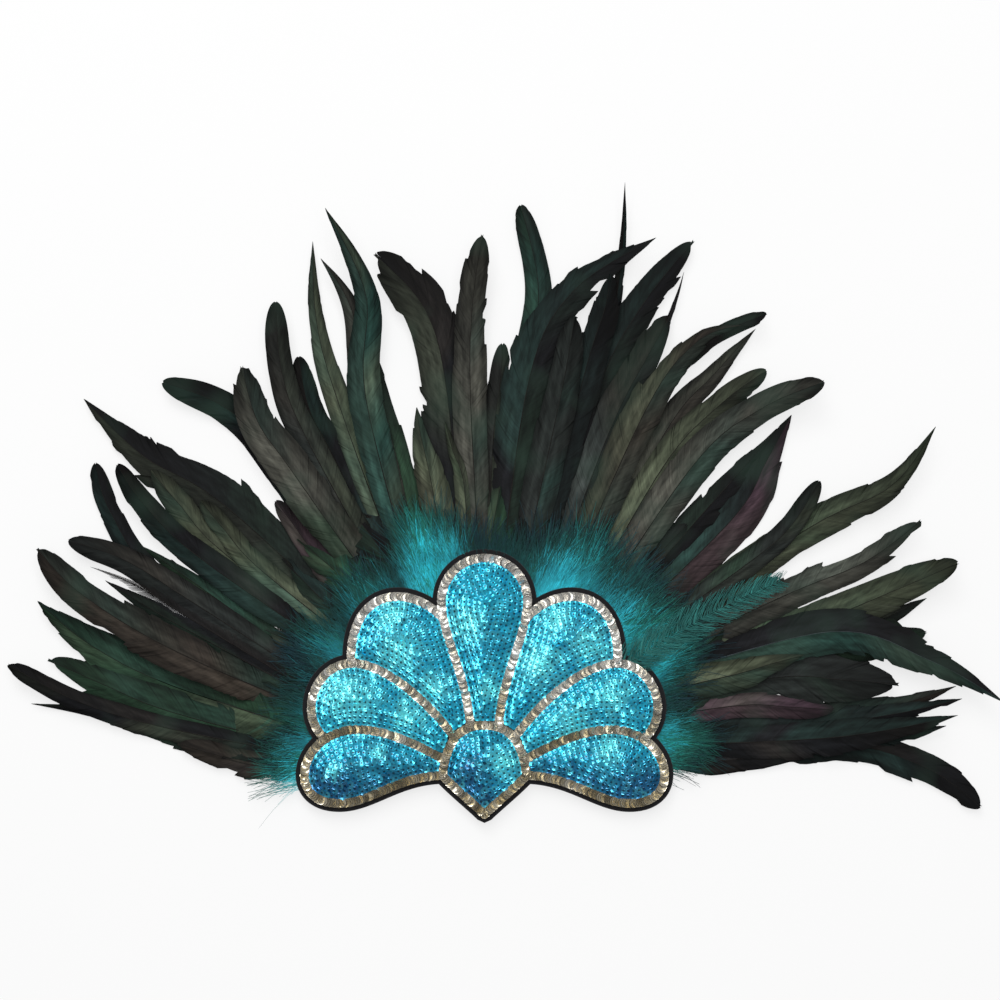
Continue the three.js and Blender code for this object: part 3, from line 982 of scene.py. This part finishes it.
@dataclass
class DownRow:
    """Turquoise down that stands out round the patch in soft locks, with one long plume."""

    material: Material
    root_lift: float = 0.4
    strands: int = 13000
    stations: int = 6
    strand_width: float = 0.4
    width_spread: Pair = (0.7, 1.3)
    taper: float = 0.6
    locks: int = 96
    end_gap: float = 3.0
    least_density: float = 0.2
    lock_reach: Pair = (0.9, 1.06)
    lock_lean: float = 8.0
    lock_spread: float = 1.9
    strand_reach: Pair = (0.82, 1.16)
    strand_lean: float = 4.0
    strand_bend: float = 0.16
    least_length: float = 6.0
    roots: Pair = (70.0, 88.0)
    rise_span: Pair = (80.0, 104.0)
    rise_power: float = 0.8
    lift: float = 4.0
    lift_spread: Pair = (0.5, 1.0)
    dark: str = "#0e2830"
    pale: str = "#8fd3d8"
    pale_span: Pair = (186.0, 196.0)
    strand_shade: float = 0.05
    lock_shade: float = 0.25
    strand_jitter: float = 3.0
    lock_jitter: float = 7.0
    plume: Feather = Feather(FRONT, POINTED, (152, 86), (128, 76), (98, 60), 31, 11, TEAL)
    plume_colour: str = "#245e5a"
    plume_barbs: int = 700
    plume_ends: Pair = (6.0, 4.0)
    plume_reach: Pair = (0.5, 0.9)
    plume_sweep: Pair = (0.8, 1.8)
    plume_curve: float = 1.3
    plume_rise: Pair = (3.5, 5.0)
    plume_shade: float = 0.25
    barb_half: float = 0.16

    def __post_init__(self) -> None:
        """Readies the random numbers, the bundle and what all strands share."""
        self.rng = np.random.default_rng(SEED + 11)
        self.bundle = Bundle()
        self.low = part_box("down_row")[0][2] / MM + self.root_lift
        self.share = np.linspace(0.0, 1.0, self.stations)
        self.sides = np.array((1.0, -1.0))

    def build(self) -> None:
        """Builds the down."""
        self.add_halo()
        self.add_plume()
        place_piece(self.bundle.piece("turquoise_down", self.material), "down", "down_row")

    def add_halo(self) -> None:
        """Adds the strands round the patch, gathered in locks."""
        rng, count, share = self.rng, self.strands, self.share
        lock_angle = np.linspace(DYE_ANGLES[0] + self.end_gap, DYE_ANGLES[-1] - self.end_gap, self.locks)
        density = self.least_density + np.interp(lock_angle, DYE_ANGLES, DYE_SHARES)
        lock = rng.choice(self.locks, count, p=density / density.sum())
        lock_reach = rng.uniform(*self.lock_reach, self.locks)
        lock_lean = rng.normal(0.0, self.lock_lean, self.locks)
        angle = lock_angle[lock] + rng.normal(0.0, self.lock_spread, count)
        reach = np.interp(angle, DYE_ANGLES, DYE_REACH) * lock_reach[lock]
        reach = reach * rng.uniform(*self.strand_reach, count)
        start = rng.uniform(*self.roots, count)
        lean = angle + lock_lean[lock] + rng.normal(0.0, self.strand_lean, count)
        heading = polar(np.clip(lean, DYE_ANGLES[0], DYE_ANGLES[-1]), 1.0)[:, None]
        across = left_of(heading)
        length = np.maximum(reach - start, self.least_length)
        bend = rng.normal(0.0, self.strand_bend, count) * length
        centre = (polar(angle, start)[:, None] + heading * (length[:, None] * share)[..., None]
                  + across * (bend[:, None] * share ** 2)[..., None])
        taper = self.strand_width / 2 * (1 - self.taper * share)
        width = taper * rng.uniform(*self.width_spread, count)[:, None]
        place = centre[:, :, None] + across[:, None] * (width[..., None] * self.sides)[..., None]
        top = rng.uniform(*self.lift_spread, count)[:, None] * self.lift
        rise = self.low + top * share ** self.rise_power * smooth_step(*self.rise_span, hub_distance(centre))
        self.add_strands(place, rise[..., None], self.tints(place, lock))

    def add_strands(self, place: Array, rise: Array, tints: Array) -> None:
        """Adds strands, given the plan points of both their edges.

        Args:
            place: Plan points as strand, station, edge, axis.
            rise: The height of each station, or of each strand.
            tints: Linear RGBA of the points.
        """
        rise = np.broadcast_to(rise, place.shape[:-1])[..., None]
        self.bundle.add_ribbons(np.concatenate([place, rise], axis=-1), tints)

    def tints(self, place: Array, lock: Array) -> Array:
        """Gives the colour of each point of the strands, paler at the lower left.

        Args:
            place: Plan points.
            lock: The number of each strand's lock.

        Returns:
            Linear RGBA for each point.
        """
        rng, count, locks = self.rng, len(place), int(lock.max()) + 1
        pick = rng.integers(0, len(DYE_COLOURS), locks)[lock]
        shade = rng.normal(0.0, self.strand_shade, count) + rng.normal(0.0, self.lock_shade, locks)[lock]
        shade = np.exp(shade)[:, None, None, None]
        dye = np.array([linear(code) for code in DYE_COLOURS])[pick][:, None, None] * shade
        dye = blend(dye, linear(self.pale), smooth_step(*self.pale_span, hub_angle(place))[..., None])
        own = linear(self.dark) * shade * np.ones((*place.shape[:-1], 1))
        jitter = rng.normal(0.0, self.strand_jitter, count) + rng.normal(0.0, self.lock_jitter, locks)[lock]
        return dyed(place, own, dye, jitter[:, None, None])

    def add_plume(self) -> None:
        """Adds the long soft plume on the right, whose barbs stand apart."""
        rng, count, share = self.rng, self.plume_barbs, self.share
        quill = Quill(self.plume)
        start = np.sort(rng.uniform(self.plume_ends[0], quill.length - self.plume_ends[1], count))
        side = rng.choice((-1.0, 1.0), count)
        half = self.plume.width * rng.uniform(*self.plume_reach, count)
        half = half * np.sqrt(1 - (start / quill.length) ** 3)
        sweep = half * rng.uniform(*self.plume_sweep, count)
        centre = start[:, None] + sweep[:, None] * share ** self.plume_curve
        point, normal = quill.at(centre[..., None] + self.sides * self.barb_half)
        place = point + normal * ((side * half)[:, None] * share)[..., None, None]
        rise = self.low + rng.uniform(*self.plume_rise, count)[:, None, None]
        shade = np.exp(rng.normal(0.0, self.plume_shade, count))[:, None, None, None]
        tints = linear(self.plume_colour) * shade * np.ones((*place.shape[:-1], 1))
        tints[..., 3] = 1.0
        self.add_strands(place, rise, tints)


def cubic(corners: tuple, count: int = 60) -> Array:
    """Draws a cubic curve.

    Args:
        corners: Its four control points.
        count: How many points to draw.

    Returns:
        Points along the curve.
    """
    start, out, back, end = (np.array(corner, dtype=float) for corner in corners)
    share = np.linspace(0.0, 1.0, count)[:, None]
    rest = 1 - share
    return start * rest ** 3 + 3 * out * rest ** 2 * share + 3 * back * rest * share ** 2 + end * share ** 3


def signed_area(outline: Array) -> float:
    """Returns the area inside a closed outline, above 0 if it runs anticlockwise."""
    following = np.roll(outline, -1, axis=0)
    return float(np.sum(outline[:, 0] * following[:, 1] - following[:, 0] * outline[:, 1])) / 2


def closed_line(*parts: Array) -> Array:
    """Joins parts into a closed outline.

    Args:
        parts: Plan points, end to end.

    Returns:
        Points an even step apart, anticlockwise, the first one not repeated.
    """
    points = np.concatenate([*parts, parts[0][:1]])
    return resample(points if signed_area(points) > 0 else points[::-1], LINE_STEP)[:-1]


def inset(outline: Array, depth: float, slack: float = 0.05) -> Array:
    """Moves an outline inward, or outward for a negative depth.

    Args:
        outline: A closed anticlockwise outline.
        depth: How far in, in millimetres.
        slack: How much nearer than that a kept point may be to the outline.

    Returns:
        The moved points, without those that come too close to another stretch of the outline.
    """
    heading = unit(np.roll(outline, -1, axis=0) - np.roll(outline, 1, axis=0))
    moved = outline + left_of(heading) * depth
    return moved[edge_gaps(moved, outline).min(axis=1) > abs(depth) - slack]


def edge_gaps(points: Array, outline: Array) -> Array:
    """Returns the distance from each point to each point of an outline."""
    return np.linalg.norm(points[:, None] - outline[None], axis=2)


def is_inside(points: Array, outline: Array) -> Array:
    """Tells which points lie inside a closed outline, by the edges to the right of each.

    Args:
        points: Plan points.
        outline: The outline.

    Returns:
        True for each point inside.
    """
    start, end = outline, np.roll(outline, -1, axis=0)
    above = (start[None, :, 1] > points[:, None, 1]) != (end[None, :, 1] > points[:, None, 1])
    rise = np.where(end[:, 1] == start[:, 1], 1e-9, end[:, 1] - start[:, 1])
    cross = start[:, 0] + (points[:, None, 1] - start[:, 1]) * (end[:, 0] - start[:, 0]) / rise
    return np.sum(above & (points[:, None, 0] < cross), axis=1) % 2 == 1


class PatchPlan:
    """Plan of the sequin patch: its trim lines, its panels and its outer edge."""

    MIRROR = (-1.0, 1.0)
    OUTER = ("medallion_foot", "lower_foot", "lower_end", "mid_arc", "upper_arc")
    CROWN_POINTS = 60

    def __init__(self) -> None:
        """Draws the trim lines of the right half and the half circle over the top petal, right to left."""
        self.lines = {name: cubic(corners) for name, corners in TRIM_LINES.items()}
        self.back = {name: line[::-1] for name, line in self.lines.items()}
        self.crown = polar(np.linspace(0.0, 180.0, self.CROWN_POINTS), TOP_RADIUS) + (0.0, TOP_CENTRE)

    def trims(self) -> list[Array]:
        """Returns all trim lines, both halves."""
        right = list(self.lines.values())
        return [*right, *(line * self.MIRROR for line in right), self.crown]

    def outer(self) -> Array:
        """Draws the edge of the patch.

        Returns:
            The closed outline along the outer trim lines.
        """
        arcs = [self.back[name] for name in self.OUTER]
        half = np.concatenate([*arcs, self.crown[:self.CROWN_POINTS // 2]])
        return closed_line(half, (half * self.MIRROR)[::-1])

    def panels(self) -> dict[str, Array]:
        """Draws the panels along the trim lines round them.

        Returns:
            The outline of each panel, by node name.
        """
        lines, back = self.lines, self.back
        below = lines["top_side"][lines["top_side"][:, 1] <= TRIM_LINES["upper_arc"][0][1]]
        right = {
            "petal_upper": (back["mid_side"], back["upper_arc"], below),
            "petal_mid": (back["lower_side"], back["mid_arc"], lines["mid_side"]),
            "petal_lower": (back["lower_foot"], back["lower_end"], lines["lower_side"]),
        }
        foot = np.concatenate([back["medallion_foot"], back["medallion_top"]])
        panels = {
            "petal_top": closed_line(back["top_side"], self.crown, lines["top_side"] * self.MIRROR),
            "medallion": closed_line(foot, (foot * self.MIRROR)[::-1]),
        }
        for name, parts in right.items():
            outline = np.concatenate(parts)
            panels[f"{name}_right"] = closed_line(outline)
            panels[f"{name}_left"] = closed_line(outline * self.MIRROR)
        return panels


def solid_arrays(solid: bmesh.types.BMesh) -> tuple[Array, list]:
    """Gives a finished solid as arrays and frees it.

    Args:
        solid: The solid, in millimetres.

    Returns:
        Its points in metres and the corners of its faces.
    """
    bmesh.ops.recalc_face_normals(solid, faces=solid.faces)
    solid.verts.index_update()
    points = np.array([vert.co for vert in solid.verts]) * MM
    faces = [[vert.index for vert in face.verts] for face in solid.faces]
    solid.free()
    return points, faces


def solid_piece(name: str, solid: bmesh.types.BMesh, material: Material) -> Piece:
    """Makes an object of one solid.

    Args:
        name: The piece's name.
        solid: The solid, in millimetres.
        material: Its material.

    Returns:
        The new object.
    """
    bundle = Bundle()
    bundle.add(*solid_arrays(solid))
    return bundle.piece(name, material)


def thicken(solid: bmesh.types.BMesh) -> list[bmesh.types.BMVert]:
    """Returns the new points of a second skin over all faces, which still lies on the first."""
    made = bmesh.ops.extrude_face_region(solid, geom=solid.faces[:])["geom"]
    return [item for item in made if isinstance(item, bmesh.types.BMVert)]


def plate(outline: Array, low: float, thick: float, bevel: float) -> bmesh.types.BMesh:
    """Makes a plate from an outline, its upper edge rounded.

    Args:
        outline: The closed plan outline.
        low: The height of its underside.
        thick: Its thickness.
        bevel: The size of the rounded edge.

    Returns:
        The solid.
    """
    solid = bmesh.new()
    solid.faces.new([solid.verts.new((*point, low)) for point in outline])
    bmesh.ops.translate(solid, verts=thicken(solid), vec=(0, 0, thick))
    rim = [edge for edge in solid.edges if all(vert.co.z > low + thick / 2 for vert in edge.verts)]
    bmesh.ops.bevel(solid, geom=rim, offset=bevel, offset_type="OFFSET", affect="EDGES", segments=2,
                    profile=0.5, material=-1)
    bmesh.ops.triangulate(solid, faces=[face for face in solid.faces if len(face.verts) > 4])
    return solid


def dome_height(gap: Array, dome: float) -> Array:
    """Returns how far a panel has risen at a distance from its edge."""
    return dome * (1 - np.exp(-gap / DOME_RUN))


def domed_ground(outline: Array, low: float, thick: float, dome: float,
                 cell: float = 1.6) -> tuple[Array, list]:
    """Makes a softly domed panel of cloth inside an outline.

    Args:
        outline: The closed plan outline.
        low: The height of its underside.
        thick: Its thickness at the edge.
        dome: How far it rises inside the edge.
        cell: The size of its mesh.

    Returns:
        Its points in metres and the corners of its faces.
    """
    solid = bmesh.new()
    corner, size = outline.min(axis=0), np.ptp(outline, axis=0)
    middle = Matrix.Translation((*(corner + size / 2), low)) @ Matrix.Diagonal((*size, 1.0, 1.0))
    bmesh.ops.create_grid(solid, x_segments=int(size[0] / cell), y_segments=int(size[1] / cell), size=0.5,
                          matrix=middle)
    centres = np.array([face.calc_center_median()[:2] for face in solid.faces])
    outside = [face for face, kept in zip(solid.faces[:], is_inside(centres, outline)) if not kept]
    bmesh.ops.delete(solid, geom=outside, context="FACES")
    for vert in solid.verts:
        if vert.is_boundary:
            vert.co[:2] = outline[np.linalg.norm(outline - vert.co[:2], axis=1).argmin()]
    upper = thicken(solid)
    gap = edge_gaps(np.array([vert.co[:2] for vert in upper]), outline).min(axis=1)
    for vert, height in zip(upper, low + thick + dome_height(gap, dome)):
        vert.co.z = height
    bmesh.ops.remove_doubles(solid, verts=solid.verts, dist=1e-4)
    return solid_arrays(solid)


@dataclass(frozen=True)
class Cup:
    """A pressed sequin: a ring round a small hole, its wall turned up, painted dark round the hole for the
    stitch and the shade in it. Sizes in millimetres.
    """

    hole: float
    floor: float
    radius: float
    depth: float
    shade: float = 1.0
    sides: int = 12
    wall: float = 0.4

    def arrays(self) -> tuple[Array, Array]:
        """Makes one sequin.

        Returns:
            Its points in millimetres and the corners of its faces.
        """
        shell = bmesh.new()
        ring = bmesh.ops.create_circle(shell, segments=self.sides, radius=self.hole, cap_ends=False)["verts"]
        edges = shell.edges[:]
        middle = (self.floor + self.radius) / 2
        for radius, rise in ((self.floor, 0.0), (middle, self.depth * self.wall), (self.radius, self.depth)):
            scale = radius / math.hypot(*ring[0].co[:2])
            made = bmesh.ops.extrude_edge_only(shell, edges=edges)["geom"]
            ring = [item for item in made if isinstance(item, bmesh.types.BMVert)]
            edges = [item for item in made if isinstance(item, bmesh.types.BMEdge)
                     and item.verts[0] in ring and item.verts[1] in ring]
            bmesh.ops.scale(shell, verts=ring, vec=(scale, scale, 1.0))
            bmesh.ops.translate(shell, verts=ring, vec=(0, 0, rise - ring[0].co.z))
        points, faces = solid_arrays(shell)
        if sum(points[corner][2] for corner in faces[0]) < 0:
            faces = [face[::-1] for face in faces]
        return points / MM, np.array(faces)

    def scatter(self, places: Array, headings: Array, leans: Array,
                tints: Array) -> tuple[Array, list, Array]:
        """Sews sequins on.

        Args:
            places: Where each one sits, in millimetres.
            headings: The plan direction of its row.
            leans: The way that it leans from upright, in plan.
            tints: Its linear RGBA.

        Returns:
            Points in metres, the corners of the faces and the tint of each point, darkened round the hole for
            the stitch and painted shade.
        """
        points, faces = self.arrays()
        count = len(places)
        headings = np.column_stack([headings, np.zeros(count)])
        normals = unit(np.column_stack([leans, np.ones(count)]))
        first = unit(headings - normals * np.sum(headings * normals, axis=1, keepdims=True))
        axes = np.stack([first, np.cross(normals, first), normals], axis=2)
        placed = places[:, None] + np.einsum("nij,vj->nvi", axes, points)
        corners = faces[None] + np.arange(count)[:, None, None] * len(points)
        # Round the hole the tint is darkened: the stitch thread's colour, and painted shade in the hole
        inner = hub_distance(points) < (self.hole + self.floor) / 2
        shaded = np.broadcast_to(tints[:, None], (count, len(points), 4)).copy()
        shaded[:, inner, :3] *= self.shade
        return placed.reshape(-1, 3) * MM, corners.reshape(-1, 4).tolist(), shaded.reshape(-1, 4)


def waves(plan: Array, lengths: tuple) -> Array:
    """Returns a wave across plan points, from -1 to 1, the product of one wave on each axis."""
    return np.prod([np.sin(plan[:, k] / length + shift) for k, (length, shift) in enumerate(lengths)], axis=0)


def varied(tints: Array, spread: float, rng: np.random.Generator) -> Array:
    """Returns the sequins' colours, each made a little lighter or darker."""
    varied_tints = tints * np.exp(rng.normal(0.0, spread, len(tints)))[:, None]
    return np.column_stack([varied_tints[:, :3], np.ones(len(tints))])


@dataclass
class SequinPanel:
    """A panel of turquoise cup sequins, sewn in rows that follow its edge."""

    node: str
    outline: Array
    materials: list
    pitch: float = 2.6
    margin: float = 2.0
    first_row: float = 1.5
    rings: int = 16
    ring_parts: tuple[float, float, float] = (0.0, 0.85, 0.7)
    ring_room: tuple[float, float, float] = (0.52, 0.72, 0.72)
    ring_gap: float = 0.3
    look_ahead: float = 0.6
    tilt: float = 0.16
    shingle: float = 0.1
    scatter: float = 0.1
    dome: float = 2.2
    ground_thick: float = 0.8
    sewn_height: float = 1.15
    cup: Cup = Cup(hole=0.28, floor=0.85, radius=2.0, depth=0.36, shade=0.02)
    cloth: str = "#0c4a66"
    # The sequins' own turquoise, then the darker blue painted in as shade, and the pale cyan of painted
    # highlights
    clear: str = "#1bbcde"
    painted_shade: str = "#0a6494"
    gleam: str = "#6cf2ff"
    painted_wave_share: float = 0.3
    foot_painted_shade: float = 0.9
    foot_painted_shade_span: Pair = (-22.0, 6.0)
    deep_spread: float = 0.12
    gleam_spread: float = 0.15
    shade_spread: float = 0.1

    def build(self) -> None:
        """Builds the panel."""
        rng = np.random.default_rng(SEED + len(self.node) * 7 + int(self.outline[0, 0]))
        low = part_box(self.node)[0][2] / MM
        edge = inset(self.outline, self.margin)
        bundle = Bundle()
        bundle.add(*domed_ground(edge, low, self.ground_thick, self.dome), linear(self.cloth))
        plan, heading = self.rows(edge)
        gaps = edge_gaps(plan, edge)
        gap = gaps.min(axis=1)
        outward = (edge[gaps.argmin(axis=1)] - plan) / np.maximum(gap, 0.01)[:, None]
        slope = self.dome / DOME_RUN * np.exp(-gap / DOME_RUN) + self.shingle
        lean = outward * slope[:, None] - heading * self.tilt + rng.normal(0.0, self.scatter, plan.shape)
        places = np.column_stack([plan, low + self.sewn_height + dome_height(gap, self.dome)])
        bundle.add(*self.cup.scatter(places, heading, lean, self.tints(plan, rng)), 1)
        place_piece(bundle.piece(self.node + "_sequins", *self.materials), "petal_sequins", self.node)

    def rows(self, edge: Array) -> tuple[Array, Array]:
        """Sets the sequins out in rings inside the panel's edge, and then in the room left between them.

        Args:
            edge: The closed outline of the sequined ground.

        Returns:
            The plan place of each sequin and the direction of its row.
        """
        places, headings = [], []
        turns = [(whole + part, room) for part, room in zip(self.ring_parts, self.ring_room)
                 for whole in range(self.rings)]
        for number, room in turns:
            ring = inset(edge, self.first_row + number * self.pitch)
            if len(ring) < 3:
                continue
            ring = np.concatenate([ring, ring[:1]])
            lengths = run_lengths(ring)
            first, last = number % 2 * 0.5 * self.pitch, lengths[-1] - self.ring_gap * self.pitch
            for stop in np.arange(first, last, self.pitch):
                here, ahead = along_line(np.array((stop, stop + self.look_ahead)), lengths, ring)
                if all(np.hypot(*(here - other)) > room * self.pitch for other in places):
                    places.append(here)
                    headings.append((ahead - here) / max(np.hypot(*(ahead - here)), 1e-6))
        return np.array(places), np.array(headings)

    def tints(self, plan: Array, rng: np.random.Generator) -> Array:
        """Gives each sequin its colour, with painted shade in drifts and at the foot, and painted highlights
        where light gathers.

        Args:
            plan: Where the sequins sit.
            rng: The random numbers.

        Returns:
            Linear RGBA for each sequin.
        """
        # Painted shade: in waves, toward the foot of the patch and in pools, some of which are painted light
        # instead
        painted_shade = self.painted_wave_share * (0.5 + 0.5 * waves(plan, PANEL_SHADE_WAVES))
        painted_shade = painted_shade + self.foot_painted_shade * (1 - smooth_step(*self.foot_painted_shade_span, plan[:, 1]))
        pools = np.array(SHADE_AND_LIGHT_POOLS, dtype=float)
        painted_shade = painted_shade + gaussian(edge_gaps(plan, pools[:, :2]), pools[:, 2]) @ pools[:, 3]
        painted_shade = painted_shade + rng.normal(0.0, self.deep_spread, len(plan))
        tints = blend(linear(self.clear), linear(self.painted_shade), np.clip(painted_shade, 0.0, 1.0)[:, None])
        # Painted highlights: pale cyan where light gathers
        places = np.array(GLEAMS, dtype=float)
        gleam = gaussian(edge_gaps(plan, places[:, :2]), places[:, 2]).max(axis=1)
        gleam = np.clip(gleam + rng.normal(0.0, self.gleam_spread, len(plan)), 0.0, 1.0)[:, None]
        return varied(blend(tints, linear(self.gleam), gleam), self.shade_spread, rng)


@dataclass
class SequinTrim:
    """Silver and pale gold sequins, strung so that they overlap on a tape, round and between the panels."""

    lines: list
    materials: list
    width: float = 4.4
    tape_step: float = 2.0
    tape_thick: float = 0.7
    tape_bow: float = 0.5
    tape_colour: str = "#4a473c"
    pitch: float = 1.15
    tilt: float = 0.42
    scatter: float = 0.14
    sewn_height: float = 1.5
    cup: Cup = Cup(hole=0.4, floor=1.0, radius=2.3, depth=0.35)
    # The near white at the top, partly the sequins' own colour and partly painted light, and the khaki gold
    # at the foot
    lit_silver: str = "#f2f0ec"
    khaki: str = "#ccc4ae"
    lit_silver_span: Pair = (-25.0, 70.0)
    painted_wave_share: float = 0.25
    shade_spread: float = 0.1

    def build(self) -> None:
        """Builds the trim."""
        rng = np.random.default_rng(SEED + 23)
        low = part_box("sequin_trim")[0][2] / MM
        bundle = Bundle()
        for line in self.lines:
            bundle.add(*self.tape(line, low), linear(self.tape_colour))
        paths = [resample(line, self.pitch) for line in self.lines]
        headings = [unit(np.gradient(path, axis=0)) for path in paths]
        leans = [rng.normal(0.0, self.scatter, heading.shape) - heading * self.tilt for heading in headings]
        plan = np.concatenate(paths)
        places = np.column_stack([plan, np.full(len(plan), low + self.sewn_height)])
        bundle.add(*self.cup.scatter(places, np.concatenate(headings), np.concatenate(leans),
                                     self.tints(plan, rng)), 1)
        place_piece(bundle.piece("silver_sequin_trim", *self.materials), "trim_sequins", "sequin_trim")

    def tape(self, line: Array, low: float) -> tuple[Array, list]:
        """Makes the tape under one line of trim.

        Args:
            line: The trim line.
            low: The height of the tape's underside.

        Returns:
            Its points in metres and the corners of its faces.
        """
        path = resample(line, self.tape_step)
        left = left_of(unit(np.gradient(path, axis=0)))
        solid = bmesh.new()
        bmesh.ops.create_grid(solid, x_segments=len(path) - 1, y_segments=2, size=0.5)
        for vert in solid.verts:
            step = round((vert.co.x + 0.5) * (len(path) - 1))
            bow = self.tape_bow * (1 - (2 * vert.co.y) ** 2)
            vert.co = (*(path[step] + left[step] * vert.co.y * self.width), low + self.tape_thick + bow)
        for vert in thicken(solid):
            vert.co.z = low
        return solid_arrays(solid)

    def tints(self, plan: Array, rng: np.random.Generator) -> Array:
        """Gives each sequin its colour, from khaki gold at the foot to a silvery white at the top, which is
        partly painted light.

        Args:
            plan: Where the sequins sit.
            rng: The random numbers.

        Returns:
            Linear RGBA for each sequin.
        """
        # Lighter toward the top: partly the sequins' own colour, partly painted light on the arcs that face
        # the light
        lit_silver = smooth_step(*self.lit_silver_span, plan[:, 1]) + self.painted_wave_share * waves(plan, TRIM_WAVES)
        lit_silver = np.clip(lit_silver, 0.0, 1.0)[:, None]
        return varied(blend(linear(self.khaki), linear(self.lit_silver), lit_silver), self.shade_spread, rng)


@dataclass
class Patch:
    """The black felt that carries the panels, and the plain cloth that binds the feathers' roots."""

    plan: PatchPlan
    felt: Material
    felt_thick: float = 2.0
    felt_bevel: float = 0.5
    backing_radius: float = 74.0
    backing_start: float = -9.0
    backing_thick: float = 1.6
    backing_sides: int = 96
    backing_points: int = 60

    def build(self) -> None:
        """Builds the felt and the backing."""
        edge = inset(self.plan.outer(), -(TRIM_WIDTH / 2 + FELT_RIM))
        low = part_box("base_felt")[0][2] / MM
        felt = solid_piece("black_felt", plate(edge, low, self.felt_thick, self.felt_bevel), self.felt)
        place_piece(felt, "felt", "base_felt")
        cloth = solid_piece("back_cloth", self.backing(), self.felt)
        place_piece(cloth, "feathers")

    def backing(self) -> bmesh.types.BMesh:
        """Makes the flat cloth at the back: a disc cut straight along its foot.

        Returns:
            The solid.
        """
        solid = bmesh.new()
        bmesh.ops.create_circle(solid, segments=self.backing_sides, radius=self.backing_radius, cap_ends=True)
        foot = self.backing_radius * math.sin(math.radians(self.backing_start))
        bmesh.ops.bisect_plane(solid, geom=[*solid.verts, *solid.edges, *solid.faces], plane_co=(0, foot, 0),
                               plane_no=(0, -1, 0), clear_outer=True)
        bmesh.ops.translate(solid, verts=thicken(solid), vec=(0, 0, self.backing_thick))
        return solid


@dataclass(frozen=True)
class Lamp:
    """A soft square light: where it hangs from the picture's middle, its side in metres and its watts."""

    name: str
    place: tuple[float, float, float]
    side: float
    power: float


@dataclass
class Studio:
    """The floor, the lights and the camera, which looks straight down."""

    centre: Pair = (7.75, 125.0)
    field_of_view: float = 500.0
    lens: float = 135.0
    sensor: float = 36.0
    near: float = 0.05
    subject: float = 8.0
    floor_half: float = 4000.0
    floor_height: float = -0.2
    surround: float = 0.35
    lamps: tuple[Lamp, ...] = (Lamp("overhead", (0.0, 0.35, 2.3), 1.4, 34.0),
                               Lamp("key", (-0.3, 1.1, 1.5), 0.8, 14.0))

    def build(self) -> None:
        """Builds the studio."""
        self.floor()
        for lamp in self.lamps:
            self.light(lamp)
        self.world()
        self.camera()
        bpy.context.scene.view_settings.view_transform = "Standard"

    def floor(self) -> None:
        """Lays the floor just under the part."""
        solid = bmesh.new()
        bmesh.ops.create_grid(solid, x_segments=1, y_segments=1, size=self.floor_half,
                              matrix=Matrix.Translation((0, 0, self.floor_height)))
        solid_piece("floor", solid, FloorFinish().material())

    def light(self, lamp: Lamp) -> None:
        """Hangs a light that faces the middle of the part.

        Args:
            lamp: The light.
        """
        bulb = bpy.data.lights.new(lamp.name, "AREA")
        bulb.size = lamp.side
        bulb.energy = lamp.power
        away = Vector(lamp.place)
        holder = bpy.data.objects.new(lamp.name, bulb)
        holder.location = Vector((*self.centre, 0.0)) * MM + away
        holder.rotation_euler = (-away).to_track_quat("-Z", "Y").to_euler()
        bpy.context.scene.collection.objects.link(holder)

    def world(self) -> None:
        """Sets an even white surround."""
        world = bpy.data.worlds.new("surround")
        world.use_nodes = True
        background = world.node_tree.nodes["Background"]
        background.inputs["Strength"].default_value = self.surround
        background.inputs["Color"].default_value = tuple(WHITE)
        bpy.context.scene.world = world

    def camera(self) -> None:
        """Sets the camera above the middle of the picture, for a square picture of the given field."""
        eye = bpy.data.cameras.new("camera")
        eye.lens = self.lens
        eye.sensor_width = self.sensor
        eye.clip_start = self.near
        eye.dof.use_dof = False
        holder = bpy.data.objects.new("camera", eye)
        rise = self.field_of_view * self.lens / self.sensor + self.subject
        holder.location = Vector((*self.centre, rise)) * MM
        bpy.context.scene.collection.objects.link(holder)
        bpy.context.scene.camera = holder


def main() -> None:
    """Builds every sub-assembly in order."""
    logging.basicConfig(level=logging.INFO, format="%(message)s")
    vane = VaneFinish().material()
    felt = FeltFinish("black_wool_felt", "#08080a", "#18181b").material()
    cloth = FeltFinish("dark_blue_net_cloth", "#06283a", "#0c4a66", 0.5).material()
    tape = FeltFinish("grey_cotton_tape", "#3c392f", "#5b5848", 0.4).material()
    petal_film = SequinFinish("turquoise_metallised_film", 0.76, 0.3).material()
    trim_film = SequinFinish("silver_metallised_film", 0.9, 0.25).material()
    plan = PatchPlan()
    feathers = [*FEATHERS, *FILLERS, *cover_feathers()]
    for row in Row:
        FeatherRow(row, vane).build(feathers)
    DownRow(DownFinish().material()).build()
    Patch(plan, felt).build()
    for node, outline in plan.panels().items():
        SequinPanel(node, outline, [cloth, petal_film]).build()
    SequinTrim(plan.trims(), [tape, trim_film]).build()
    Studio().build()


if __name__ == "__main__":
    main()
